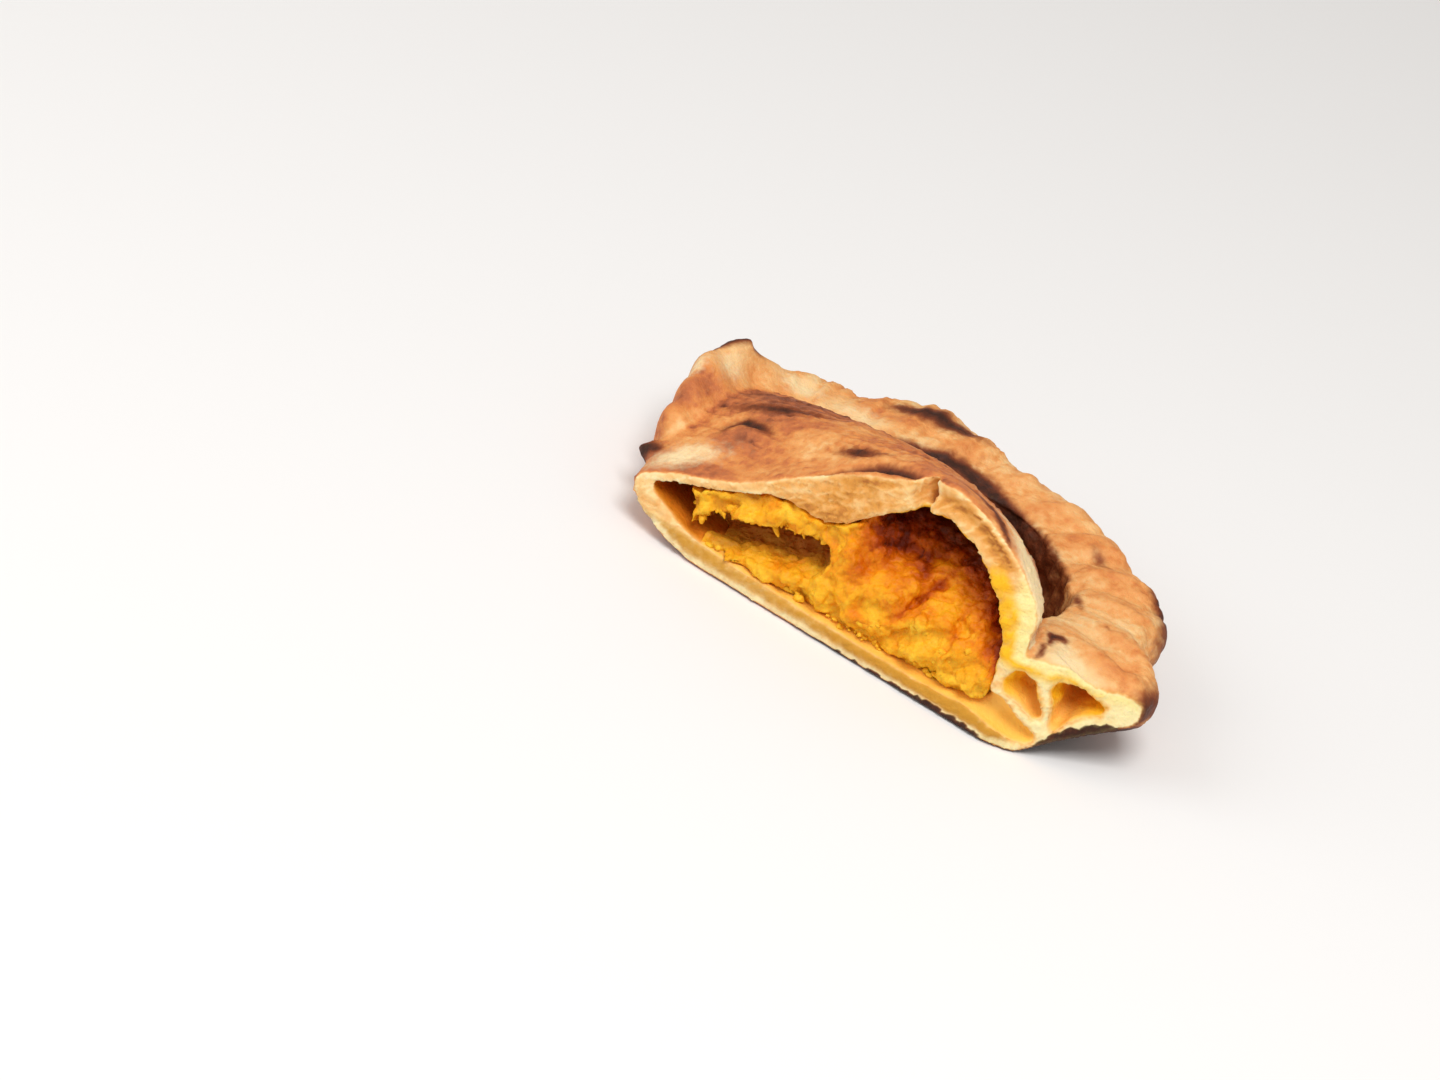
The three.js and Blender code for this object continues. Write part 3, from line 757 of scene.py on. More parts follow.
# x, y, length, width, turn, strength
# The spot at (9.5, 17.6) is painted shade under the fold arch
BROWNED = [
    (10, 32, 22, 9, 8, 0.12), (52, 15, 9, 5, 0, 0.14), (24, 12, 16, 5, 5, -0.06), (44, 34, 20, 5, -20, 0.14),
    (44, 23, 10, 6, -15, 0.12), (1, 22, 7, 5, 10, -0.14), (9.5, 17.6, 6, 3.2, 0, 0.24),
    (1.5, 14.6, 4, 4, 0, -0.16), (30, 24, 12, 4, 0, -0.08), (-7, 26, 5, 7, 0, 0.3), (-10, 21, 3, 6, 0, 0.26),
    (25, 55.5, 7, 3, 5, 0.26), (36, 60, 9, 4, -10, 0.14), (102, 18, 9, 12, 0, 0.1),
    (70, 54, 10, 5, -30, 0.08), (94, 9, 8, 5, 10, -0.3), (-3, 14, 7, 9, 0, -0.1),
]
SCORCHED = [(92.3, 26.2, 0.9, 0.9, 0, 0.4)]
FLOURED = [
    (2, 9, 8, 4.5, 25, 0.8), (2.4, 51, 6, 4, 0, 0.7), (17.5, 51, 7, 4, 0, 0.6), (60, 62, 9, 3, -25, 0.35),
    (-8, 38, 3.5, 5, 20, 0.6), (-12, 31, 2.2, 4.5, 0, 0.6), (94, 9.5, 7, 3.5, 15, 0.75),
]
CHARRED_EDGE = [
    (94.4, 3.2, 0.7, 0.5), (97, 4.9, 1.7, 1), (100, 7.1, 2.1, 1), (103, 9.2, 1.9, 1), (106, 10.8, 0.9, 0.6),
]
PALE_FLANK = [(66, 17.5, 1.5, 0.3), (72, 14.6, 2.4, 0.7), (78, 12, 4.5, 0.95), (84, 8, 6, 1)]
print("drawn:", len(DARK_LINES), "lines,", len(BROWNED + SCORCHED + FLOURED), "spots")

# %% [markdown]
# Zones of the crust
# Every wrinkle and every mark keeps to its zone: dome, rim, cut face or inner side. On the cut face, the
# distances to its outer and its inner edge say how far through the dough a point lies.

# %% Zones, and the way through the dough
skin_points, skin_normals = points_of(crust_mesh), normals_of(crust_mesh)
px, py, pz = skin_points.T
dome_share = on_ray(px, py, wall_track, wall_table)[1]
rim_share, rim_aside = rim_place(px, py)
rim_v = rim_aside / rim_track(rim_share)[:, 2]
on_rim = ramp(-np.abs(rim_level(px, py, pz) - 1), -0.16, -0.04) * outer_side
on_dome = np.clip(outer_side - on_rim, 0, 1) * ramp(pz, 5, 9)
back_in = py - cut_depth(px, pz)

is_cut = cut_face > 0.25
beside_cut = ~is_cut & (back_in < 4) & (back_in > -1)
edge_out, edge_in = np.full(len(px), 9.0), np.full(len(px), 9.0)
edge_out[is_cut] = nearest(skin_points[is_cut], skin_points[beside_cut & (outer_side > 0.6)])
edge_in[is_cut] = nearest(skin_points[is_cut], skin_points[beside_cut & (inner_side > 0.6)])
thickness_share = edge_in / (edge_in + edge_out)
print("thickest cut dough, mm:", round(float((edge_in + edge_out)[is_cut & (px < 84)].max()), 1))

# %% [markdown]
# Relief of the crust
# The skin dries first and then stretches, so fine wrinkles run along the dome, side by side with small
# blisters. The rim shows short pinches across it. The cut face is crumb: pale strands and small open
# bubbles, with a sunken middle where the lip is thick. Inside, cheese sticks to the dough in blobs.


# %% Wrinkles, pinches and strands
def creases(places, size, seed):
    """Narrow valleys where rolling noise passes zero: 1 in the valley, 0 a little way off."""
    return bell(rolling(places, size, seed), 0.16)


def beside(line, dx, dy):
    """The same line moved by dx and dy, for the raised edge beside a crease."""
    return [(x + dx, y + dy, width, strength) for x, y, width, strength in line]


length_way = np.stack([0.17 * (px - 0.15 * py), py + 0.15 * px, 0.6 * pz], -1)
rim_way = np.stack([RIM_LENGTH * rim_share, 0.45 * rim_aside, 0.3 * pz], -1)
lip_way = np.stack([0.28 * (px + 0.45 * pz), py, pz - 0.45 * px], -1)
wrinkled = (0.3 + 0.7 * ramp(py, 9, 22)) * (0.7 + 0.5 * rolling(skin_points, 11, 8.0))
wrinkle = wrinkled * (creases(length_way, 2.5, 3.0) + 0.6 * creases(length_way * [1.6, 1, 1], 1.5, 8.0))
pinch = creases(rim_way, 4.2, 1.0) + 0.5 * creases(rim_way, 2.3, 6.0)
pinch *= 1 - 0.85 * ramp(rim_share, 0.72, 0.75)
swell = rolling(skin_points, 9.0, 2.0)
ridges = np.sin(2 * np.pi * RIM_LENGTH * rim_share / RIDGE_PITCH + 2.2 * rim_v)
blister = ramp(0.42 - lumps(skin_points, 2.4, 4.0)[0], 0, 0.3)
bubble = ramp(0.5 - lumps(skin_points, 1.9, 7.0)[0], 0, 0.35)
strand = creases(lip_way, 1.7, 5.0)
print("share of the skin in a wrinkle:", round(float((wrinkle > 0.5).mean()), 2))

# %% [markdown]
# Folds and lips
# The drawn lines count only on the side that they lie on, so each is multiplied by that side. The torn
# lip, the dough at its right and the strips where cheese sticks are soft boxes in place and height.

# %% Drawn folds, lips and stuck blobs
top_side = outer_side * ramp(skin_normals[:, 2], -0.2, 0.3)
crease = strokes([CREASE], px, py) * top_side
fold = strokes([FOLD_ARCH], px, py) * top_side
groove = strokes([TROUGH_BURN], px, py) * outer_side * ramp(skin_normals[:, 2], -0.7, -0.2)
thick_lip = cut_face * bell(px - 40, 14) * ramp(pz, 16, 21) * ramp(56 - px, 0, 3)
right_lip = cut_face * ramp(px, 54, 57) * ramp(pz, 17, 22)
core = right_lip * bell(thickness_share - 0.5, 0.2) * ramp(78 - px, 0, 4)
yellow_edge = cut_face * ramp(px, 71.5, 74) * ramp(pz, 15, 18.5) * ramp(34 - pz, 0, 3)
yellow_edge *= ramp(0.62 - thickness_share, 0, 0.2)
coated = inner_side * ramp(px, 46, 54) * ramp(pz, 13, 17) * (1 - ramp(back_in, 20, 26))
yellow_strip = inner_side * ramp(px, 76, 79) * (1 - ramp(back_in, 5, 9)) * ramp(pz, 9, 13)
blob = np.sqrt(np.clip(1 - (lumps(skin_points, 2.7, 11.0)[0] / 0.7) ** 2, 0, 1))
print("points on the thick lip:", int((thick_lip > 0.5).sum()))

# %% [markdown]
# Raise and sink the skin
# All of it adds up to one height a point, in millimetres along the normal. That keeps every form real
# geometry, with its own shadow at the edge, where a bump in the material would leave the outline smooth.

# %% Raise and sink the skin
relief = on_dome * (0.34 * swell - 0.55 * wrinkle + 0.32 * blister)
relief += on_rim * (0.6 * swell - 0.35 * pinch + 0.1 * blister - 0.4 * ridges * ramp(rim_share, 0.36, 0.46))
relief += on_rim * ramp(-rim_v, 0.5, 0.9) * 0.8 * rolling(skin_points, 3.4, 15.0)
relief += 0.8 * strokes([beside(CREASE, 0, -1.9)], px, py) * top_side - 1.6 * crease
notch_line = strokes([NOTCH_LINE], px, pz) * cut_face
notch_edge = strokes([beside(NOTCH_LINE, 1.5, 0)], px, pz) * cut_face
relief += 0.6 * notch_edge - 1.1 * notch_line
relief += 0.5 * strokes([beside(FOLD_ARCH, 0, -1.7)], px, py) * top_side - 0.7 * fold - 0.5 * groove
# The scorched corner at the fold, the bulge and waist at the rim's right end
relief += 3.6 * outer_side * bell(py - 13, 2.4) * bell(pz - 10, 1.8) * ramp(-px, 2, 5)
right_end = on_rim * ramp(rim_v, 0.4, 0.85) * ramp(px, 90, 96)
relief += (2.6 * bell(py - 21, 5.5) - 1.8 * bell(py - 33.5, 5)) * right_end
relief += cut_face * (-0.5 * bubble * (0.25 + 0.75 * thick_lip) + 0.3 * strand) - 0.9 * core
relief += 0.9 * yellow_edge * blob + 0.8 * np.maximum(coated, yellow_strip) * blob
relief += 0.3 * inner_side * rolling(skin_points, 3.5, 9.0)
crust_points = skin_points + (relief - 0.12)[:, None] * skin_normals
# A lobe of the rim leans over the end of the trough
pillow = on_rim * ramp(-rim_v, 0.3, 0.8) * bell(rim_share - 0.19, 0.034) * ramp(pz, 11, 18)
crust_points += pillow[:, None] * [-3.2, -0.6, 0.3]
print("relief from", relief.min().round(2), "to", relief.max().round(2), "mm")

# %% [markdown]
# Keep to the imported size
# The relief may not make the object bigger than its solid model, so the points are held inside that
# model's box before the mesh goes to metres.


# %% From the plan to the object
def to_metres(points):
    """Plan millimetres to the object's metres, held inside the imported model's box."""
    low, high = np.array(cad_low) + 2e-5, np.array(cad_high) - 2e-5
    return np.clip((points - BASE) / 1000, low, high)


def finished(name, mesh, body="root"):
    """A smooth object at the origin, with its materials cleared, that moves with its body."""
    mesh.name = name
    mesh.materials.clear()
    mesh.shade_smooth()
    piece = in_scene(name, mesh)
    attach(piece, body)
    return piece


def give(mesh, **layers):
    """Stores one number a point under each name, for the materials to read."""
    for name, values in layers.items():
        layer = mesh.attributes.new(name, "FLOAT", "POINT")
        layer.data.foreach_set("value", np.clip(values, 0, 1).astype(np.float32))


print("room for the object, mm:", [round(1000 * float(v), 1) for v in cad_high - cad_low])

# %% [markdown]
# Where the oven coloured the crust, and painted shade
# Browning follows heat: raised places brown first and the rolled rim stays paler. Sunken wrinkles and
# pinches, the dome's far side and a spot under the fold arch get painted shade in the browning. The marks
# from above are scorched, and the crease, the folds and the trough line among them are painted shade. The
# space between dome and rim gets painted shade, darker lower down, and the underside is charred in
# patches. Loose flour stays pale where nothing rubbed it off.

# %% Browning, scorch, painted shade and flour
facing_down = ramp(-skin_normals[:, 2], 0.3, 0.8) * outer_side
# Painted shade in the space between dome and rim, darker lower down and towards the right
between = outer_side * ramp(dome_share, 0.9, 0.98) * ramp(-rim_v, 0.72, 0.95) * (1 - facing_down)
trough = between * ramp(18.5 - pz, 0, 6) * (0.25 + 0.75 * ramp(px, 26, 40))
trough *= 0.72 + 0.5 * rolling(skin_points, 7.0, 41.0)
rim_tint = softened(crust_mesh, on_rim, 8)
patches, drift = rolling(skin_points, 14.0, 12.0), rolling(length_way, 5.0, 21.0)
char_noise = rolling(skin_points, 2.2, 3.0)
browning = 0.5 + 0.14 * patches + 0.16 * drift * on_dome + spots(BROWNED, px, py) - 0.2 * rim_tint
# Painted shade in sunken wrinkles and pinches, while ridge crests and blisters brown
browning += 0.16 * wrinkle * on_dome + (0.06 * ridges + 0.08 * pinch) * on_rim + 0.12 * blister
# Painted shade towards the dome's far side
browning += 0.12 * on_dome * ramp(dome_share, 0.5, 0.9)
browning += facing_down * (0.3 + 0.4 * patches)
charred = strokes([CHARRED_EDGE], px, pz)
char_edge = (cut_face + outer_side) * ramp(1.2 + 1.2 * ramp(px, 55, 80) - pz + char_noise, 0, 0.8)
char_edge *= ramp(px, 34, 46) * ramp(86 - px, 0, 3) * (back_in < 2)
char_edge = np.maximum(char_edge, cut_face * ramp(charred + 0.3 * char_noise, 0.3, 0.6))
marked_side = outer_side * ramp(skin_normals[:, 2], -0.6, -0.1)
# Scorched marks, with painted shade in the crease, the fold arch and the streak
scorch = (strokes(DARK_LINES, px, py) + spots(SCORCHED, px, py)) * marked_side
# Painted shade in the trough groove and the space between dome and rim, then the charred edges
scorch += np.maximum(1.15 * groove, 0.7 * trough) + 1.1 * charred * ramp(4 - back_in, 0, 2) + char_edge
scorch += facing_down * (0.35 + 0.6 * rolling(skin_points, 17.0, 31.0) + 0.5 * ramp(px, 60, 95))
flour = spots(FLOURED, px, py) + strokes([PALE_FLANK], px, py) * on_dome * ramp(pz, 14, 20)
flour += 0.25 * ramp(rolling(skin_points, 12.0, 40.0), 0.3, 0.8) * on_rim * ramp(60 - px, 0, 15)
print("scorched share of the crust:", round(float((scorch > 0.5).mean()), 2))

# %% [markdown]
# The crumb of the cut
# The crumb is soaked golden where it is thick and buttery where it met the cheese, and pale along its
# edges, where it baked dry. Thin lines of painted shade lie in the notch and in a gap in the right lip.
# Inside, painted shade darkens the roof with depth and where it faces down, and cheese coats it in places.

# %% Crumb, butter, stuck cheese and painted shade
wall_band = cut_face * ramp(px, 78, 82) * ramp(pz, 15, 18)
floor_edge = cut_face * ramp(6 - pz, 0, 1.5) * ramp(92 - px, 0, 4)
seam = cut_face * ramp(px, 83, 86) * ramp(18.5 - pz, 0, 2)
soak = 0.42 + 0.42 * thick_lip + 0.2 * right_lip + 0.34 * core
soak += 0.24 * rolling(lip_way, 3.0, 17.0) - 0.26 * strand
soak += seam * (0.4 - 0.75 * ramp(edge_in, 0.3, 1.3))
# A thin line of painted shade in a gap inside the right lip
soak += 0.6 * right_lip * bell(thickness_share - 0.72, 0.07) * ramp(px, 62, 66) * ramp(78 - px, 0, 3)
soak -= 0.3 * bell(edge_out, 0.7) + 0.22 * bell(edge_in, 0.6) + 0.45 * wall_band
soak -= 0.3 * floor_edge * ramp(2.2 - edge_out, 0, 1)
# Painted shade in the notch line, and paler dough on its raised edge
soak += 0.5 * notch_line - 0.3 * notch_edge
oily = floor_edge * (0.2 + 0.62 * ramp(edge_out, 0.7, 2.4)) * (0.85 + 0.25 * ramp(px, 35, 60))
butter = 0.7 * wall_band + 0.3 * seam * ramp(edge_in, 0.3, 1.3) + 0.1 * floor_edge
# Painted shade inside the hollow, darker with depth behind the cut
deep = ramp(back_in, 1.5, 15)
# More painted shade where the roof faces down
under_roof = ramp(-skin_normals[:, 2], 0.1, 0.5) * ramp(px, 44, 52) * ramp(84 - px, 0, 4)
deep = np.maximum(deep, 0.75 * under_roof * ramp(back_in, 0.6, 3))
# The bare end wall gets a fixed, lighter painted shade, and the seam's pockets a weaker one, so they show
# golden in the dim light
deep = np.where(px < 15, 0.4 + 0.2 * ramp(back_in, 1, 8), deep)
deep = np.where(px > 82, 0.6 * deep, deep)
coat = np.maximum.reduce([
    coated * (0.35 + blob), yellow_strip, yellow_edge * (0.75 + 0.4 * blob),
    0.15 * floor_edge * ramp(edge_out, 1.4, 3) + 0.3 * inner_side * ramp(7 - pz, 0, 2) * ramp(px, 10, 20),
    # Painted light: the bare end wall takes a light cheese orange, so it shows lit in its shade
    0.8 * inner_side * ramp(18 - px, 0, 5) * ramp(back_in, 0.4, 2),
])
not_charred = 1 - char_edge
give(
    crust_mesh, browning=browning * outer_side, drawn=0.25 + 0.75 * on_dome,
    scorch=scorch + cut_face * char_edge, flour=flour * top_side, crumb=cut_face * not_charred, soak=soak,
    butter=butter * not_charred, oily=oily * not_charred, inner=inner_side, deep=deep * inner_side,
    coat=coat * not_charred,
)
move_points(crust_mesh, to_metres(crust_points))
baked_crust = finished("baked_crust", crust_mesh)
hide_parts("crust")
print("crust:", sum(len(p.vertices) - 2 for p in crust_mesh.polygons), "triangles")

# %% [markdown]
# The cheddar
# Grated cheddar melts into a lumpy mass behind the cut. On the left a pocket of steam has left a hole,
# whose floor rises to the back, and the end wall is bare. On the right the mass has sunk away from the
# roof, so its top leans back as a mound, split by two narrow valleys.

# %% The body of the filling
BESIDE_LIP = [
    (47, 26, 1.6, 0.6), (51, 31, 2.2, 1), (57, 33.5, 2.6, 1), (64, 33, 2.6, 1), (70, 31, 2.4, 1),
    (75, 27, 2.2, 1), (77.4, 21, 1.6, 0.8), (78.4, 15, 1, 0.3),
]
VALLEYS = [
    [(58.3, 11.5, 0.8, 0.6), (60.5, 15.2, 1.2, 1), (62.5, 19.6, 1.2, 0.9), (63.6, 22.5, 0.8, 0.4)],
    [(50, 23, 0.8, 0.4), (54, 21.6, 1.1, 0.8), (57.8, 21.7, 0.9, 0.7), (60.5, 18.5, 0.8, 0.5)],
    [(70.5, 10, 0.7, 0.3), (71.5, 15, 1.1, 0.7), (70, 19.5, 0.9, 0.5)],
]


def hole_middle(x):
    """Height of the hole's middle, which climbs to the right."""
    return AIR_HOLE["z"] + AIR_HOLE["slope"] * (x - AIR_HOLE["x"])


def hole_roof(x):
    """Height of the hole's roof: middle + half height x (1 - along^4)^0.25, never quite closed."""
    along = (x - AIR_HOLE["x"]) / AIR_HOLE["half_length"]
    return hole_middle(x) + AIR_HOLE["half_height"] * np.clip(1 - along**4, 0.05, 1) ** 0.25


def filling_depth(x, z):
    """Depth of the filling's face: the cut + 1.6 mm + the deepest of the hole, the space over the mound,
    the bare end and the foot, + lumps - curds + valleys. The face is smoother where the hole is."""
    along = (x - AIR_HOLE["x"]) / AIR_HOLE["half_length"]
    across = (z + 0.4 - hole_middle(x)) / (AIR_HOLE["half_height"] + 0.3)
    hole = AIR_HOLE["depth"] * np.maximum(0, 1 - along**4 - across**4) ** 0.3 * ramp(across, -1.2, 0.2)
    above = 20 * ramp(z, 14, 32) * ramp(x, 43, 56)
    bare = 20 * (1 - ramp(x + 0.6 * z, 13.6, 16.6))
    foot = 3 * (1 - ramp(z, 4.5, 8.5)) * ramp(x, 24, 36)
    turn = 2 * np.pi / 8.5
    lump = np.sin(turn * x + 2 * np.sin(0.31 * z)) * np.cos(0.7 * turn * z + 0.13 * x)
    lump += 0.6 * np.sin(turn * (0.62 * x - 1.1 * z)) + 0.4 * np.sin(turn * (1.45 * x + 0.5 * z))
    out_of_hole = ramp(AIR_HOLE["depth"] - hole, 0, AIR_HOLE["depth"])
    places = np.stack(np.broadcast_arrays(x, 0.0, z), -1)
    rough = (0.9 * lump - 1.8 * (1 - lumps(places, 4.6, 6.0)[0] ** 2)) * out_of_hole
    valley = 2.6 * strokes(VALLEYS, x, z) + 6 * strokes([BESIDE_LIP], x, z)
    deepest = np.maximum.reduce(np.broadcast_arrays(hole, above, bare, foot))
    return cut_depth(x, z) + 1.6 + deepest + rough + valley


filling_start = round_mesh("filling", hollow_profile(FILLING_GAP), HOLLOW_SQUARENESS, columns=200, rows=60)
filling_front = front_mesh("filling_front", filling_depth, (-12, 96), (-2, 48), columns=240, rows=110)
# The cheese has run a little on the floor, so a rounded toe closes the gap under the face
toe_x = np.linspace(14.5, 78, 40)
toe_back = cut_depth(toe_x, 4.5) + np.interp(toe_x, [14, 24, 34, 54, 63, 78], [3, 6, 5.4, 4.6, 6.2, 6.4])
toe_centre = np.stack([toe_x, toe_back, np.full(40, 4.9)], -1)
round_way = 2 * np.pi * np.arange(12) / 12
toe_circle = np.stack([0 * round_way, np.cos(round_way), np.sin(round_way)], -1)
toe_radius = 1.9 + 0.35 * rolling(toe_centre, 5.0, 8.0)
toe = ring_mesh("toe", (toe_centre[:, None] + toe_radius[:, None, None] * toe_circle)[None],
                toe_centre[:1] - [0.5, 0, 0], toe_centre[-1:] + [0.5, 0, 0])
cheese_steps = [("DIFFERENCE", filling_front), ("UNION", toe)]
cheese_mesh = shaped("melted_cheddar", filling_start, cheese_steps, CHEESE_NET)
move_points(cheese_mesh, softened(cheese_mesh, points_of(cheese_mesh), 1))
print("cheddar net:", len(cheese_mesh.polygons), "faces")

# %% [markdown]
# Grated and half melted
# A shred of cheddar is about 2 mm thick and lies in any direction. Melted halfway, shreds leave long
# rounded grains with narrow gaps between them. Lumps in squeezed places are such grains, and the highest
# of three directions is kept. Only the face that shows gets them, and the sides at the dough stay.

# %% Grain the face
SHRED_WAYS = np.array([(0.95, 0.1, 0.3), (0.25, 0.15, 0.95), (0.62, -0.35, -0.7)])
SHRED_WAYS /= np.linalg.norm(SHRED_WAYS, axis=1, keepdims=True)


def grated(places, size, seed):
    """Height 1 - (distance / 0.7)^2 of the highest grain: scattered lumps in places squeezed to two
    fifths along one of three ways, so each lump is drawn out. Also the grain's own tone."""
    height, tone = np.full(len(places), -1.0), np.zeros(len(places))
    for number, way in enumerate(SHRED_WAYS):
        squeezed = places - 0.6 * (places @ way)[:, None] * way
        distance, own = lumps(squeezed, size, seed + 5.0 * number)
        grain = 1 - (distance / 0.7) ** 2
        tone, height = np.where(grain > height, own, tone), np.maximum(height, grain)
    return np.clip(height, 0, 1), tone


def toasted_at(x, z, back):
    """How much toast and painted shade the cheese has: yellow low down and at the right wall, orange in
    the middle, burnt and in painted shade where it lies high under the roof, and in painted shade where
    it lies deep, in a valley, beside the lip or in the hole."""
    roof = np.interp(x, [8, 40, 47, 54, 62, 73, 79, 83], [15, 20, 27, 35, 35, 32, 24, 17])
    height = (z - 4) / (roof - 4)
    right = ramp(x, 42, 50)
    # Height under the roof gives toast and painted shade, and depth back gives painted shade
    tone = 0.2 * ramp(height, 0.25, 0.55) + 0.46 * ramp(height, 0.42, 0.8) + 0.15 * ramp(back, 6, 18)
    tone = 0.25 + right * tone - 0.12 * ramp(9 - z, 0, 4) - 0.14 * ramp(x, 60, 68) * ramp(22 - z, 0, 6)
    # Painted shade in the valleys and beside the lip
    tone = tone + 0.35 * strokes(VALLEYS, x, z) + 0.45 * strokes([BESIDE_LIP], x, z)
    # Painted shade in the hole, darker towards its roof
    in_hole = ramp(back, 4, 12) * ramp(44 - x, 0, 3)
    return tone + in_hole * (0.12 + 0.35 * ramp(z - hole_middle(x), -1, 2.5) + 0.12 * ramp(x, 38, 41))


cheese_points, cheese_normals = points_of(cheese_mesh), normals_of(cheese_mesh)
cx, cy, cz = cheese_points.T
back_from_cut = cy - cut_depth(cx, cz)
shown_face = ramp(-cheese_normals[:, 1] + 0.5 * cheese_normals[:, 2], -0.1, 0.4)
grain, grain_tone = grated(cheese_points, 2.4, 1.0)
fine_grain = grated(cheese_points, 1.3, 31.0)[0]
face_relief = 0.95 * grain + 0.65 * fine_grain - 1.1
face_relief += 0.6 * rolling(cheese_points, 4.0, 4.0) + 0.4 * rolling(cheese_points, 1.7, 9.0)
face_relief *= shown_face
move_points(cheese_mesh, to_metres(cheese_points + face_relief[:, None] * cheese_normals))
over_middle = cz - hole_middle(cx)
# Painted shade in the hole, darker towards its roof, and behind the mound
hole_share = ramp(back_from_cut, 0.8, 2.6) * ramp(46 - cx, 0, 4) * ramp(over_middle, -4.4, -3)
behind_mound = ramp(cx, 46, 58) * ramp(back_from_cut, 9, 20)
give(
    cheese_mesh, grain=0.35 + 0.65 * grain,
    deep=hole_share * (0.58 + 0.27 * ramp(over_middle, 0.5, 3)) + 0.2 * behind_mound,
    far=ramp(back_from_cut, 4, 14) * ramp(46 - cx, 0, 4),
    toasted=toasted_at(cx, cz, back_from_cut) + 0.2 * (grain_tone - 0.5)
    + 0.16 * rolling(cheese_points, 6.0, 3.0),
)
melted_cheddar = finished("melted_cheddar", cheese_mesh)
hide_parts("cheese_filling")
print("cheddar:", sum(len(p.vertices) - 2 for p in cheese_mesh.polygons), "triangles")

# %% [markdown]
# Loose shreds and curds
# Small things stick out of any real filling: threads of cheese that hang from the roof over the hole,
# and curds that sit half sunk in the face and along its foot. Each kind is one mesh of many small closed
# bodies, worked out together as arrays.


# %% Tapered threads and uneven pebbles
def threads(name, start, way, bend, length, radius):
    """Tubes of 7 rings: at share t the middle is start + way x length x t + bend x t^2, and the circle
    across the way is radius x (4t(1 - t))^0.35 x (1 - 0.35 t) wide."""
    t = np.linspace(0.05, 0.95, 7)[None, :, None, None]
    turn = (2 * np.pi * np.arange(6) / 6)[None, None, :, None]
    side = np.cross(way, [0.3, 1.0, 0.1])
    side /= np.linalg.norm(side, axis=1, keepdims=True)
    other = np.cross(side, way)
    circle = np.cos(turn) * side[:, None, None] + np.sin(turn) * other[:, None, None]
    run = way * length[:, None]
    middle = start[:, None, None] + run[:, None, None] * t + bend[:, None, None] * t**2
    wide = radius[:, None, None, None] * (4 * t * (1 - t)) ** 0.35 * (1 - 0.35 * t)
    return ring_mesh(name, middle + wide * circle, start, start + run + bend)


def pebbles(name, centre, size, seed):
    """Balls of 5 rings stretched to `size` (three half widths), each direction pushed out or in by up to
    a quarter by rolling noise."""
    polar = (np.pi * np.arange(1, 6) / 6)[:, None]
    turn = (2 * np.pi * np.arange(8) / 8)[None]
    flat, up = np.sin(polar), np.cos(polar) + 0 * turn
    way = np.stack([flat * np.cos(turn), flat * np.sin(turn), up], -1)
    push = 1 + 0.35 * rolling(way[None] + 3.7 * np.arange(len(centre))[:, None, None, None], 0.9, seed)
    rings = centre[:, None, None] + way[None] * size[:, None, None] * push[..., None]
    tip = np.array([0, 0, 1.0]) * size
    return ring_mesh(name, rings, centre + tip, centre - tip)


def paint_cheese(mesh):
    """Gives small pieces layers like the filling's, a little paler, and puts them in their place."""
    x, y, z = points_of(mesh).T
    tone = toasted_at(x, z, y - cut_depth(x, z)) - 0.04
    give(mesh, grain=np.full(len(x), 0.9), deep=0 * x, toasted=tone)
    move_points(mesh, to_metres(points_of(mesh)))


def spread(low, high, count):
    """Evenly seeded numbers between two limits."""
    return seeded.uniform(low, high, count)


SHREDS, FOOT_CURDS, EDGE_CURDS, FACE_CURDS = 70, 110, 90, 60
print("small pieces to come:", SHREDS + FOOT_CURDS + EDGE_CURDS + FACE_CURDS)

# %% [markdown]
# Shreds and curds in their places
# The shreds start on the hole's roof and lean downwards. The curds lie in three rows: along the foot,
# along the hole's upper edge, and on the low part of the face. Most are small and only a few are large,
# because an evenly spread number is raised to the third power.

# %% Shreds under the roof
hang_x = spread(10.5, 43, SHREDS)
hang_z = hole_roof(hang_x) + spread(0, 1.6, SHREDS)
hang_start = np.stack([hang_x, cut_depth(hang_x, hang_z) + spread(1.6, 5, SHREDS), hang_z], -1)
hang_way = np.stack([spread(*limits, SHREDS) for limits in ((-1, 1), (-0.5, 0.3), (-0.9, -0.1))], -1)
hang_way /= np.linalg.norm(hang_way, axis=1, keepdims=True)
hang_bend = np.stack([spread(-1, 1, SHREDS), 0 * hang_x, spread(-0.8, 0, SHREDS)], -1)
shreds = threads(
    "hanging_shreds", hang_start, hang_way, hang_bend, spread(1.2, 2.6, SHREDS), spread(0.5, 1.0, SHREDS),
)
paint_cheese(shreds)
hanging_shreds = finished("hanging_shreds", shreds)
print("shreds:", len(shreds.polygons), "faces")

# %% Curds along the foot, the hole's edge and the face
foot_x, edge_x, face_x = spread(16, 79, FOOT_CURDS), spread(11, 42, EDGE_CURDS), spread(40, 78, FACE_CURDS)
foot_y = np.interp(foot_x, toe_x, toe_back) + spread(-3, -1, FOOT_CURDS)
foot_z = spread(4.1, 5.6, FOOT_CURDS)
edge_z = hole_roof(edge_x) + spread(-0.4, 1.2, EDGE_CURDS)
edge_y = cut_depth(edge_x, edge_z) + spread(1.6, 4, EDGE_CURDS)
face_z = 6 + spread(0, 9, FACE_CURDS)
face_y = filling_depth(face_x, face_z) + 0.9
curd_rows = (foot_x, foot_y, foot_z), (edge_x, edge_y, edge_z), (face_x, face_y, face_z)
curd_at = np.concatenate([np.stack(row, -1) for row in curd_rows])
curd_size = 0.25 + 0.6 * spread(0, 1, len(curd_at)) ** 3
curd_form = np.stack([spread(*limits, len(curd_at)) for limits in ((0.9, 1.8), (0.8, 1.2), (0.6, 1.1))], -1)
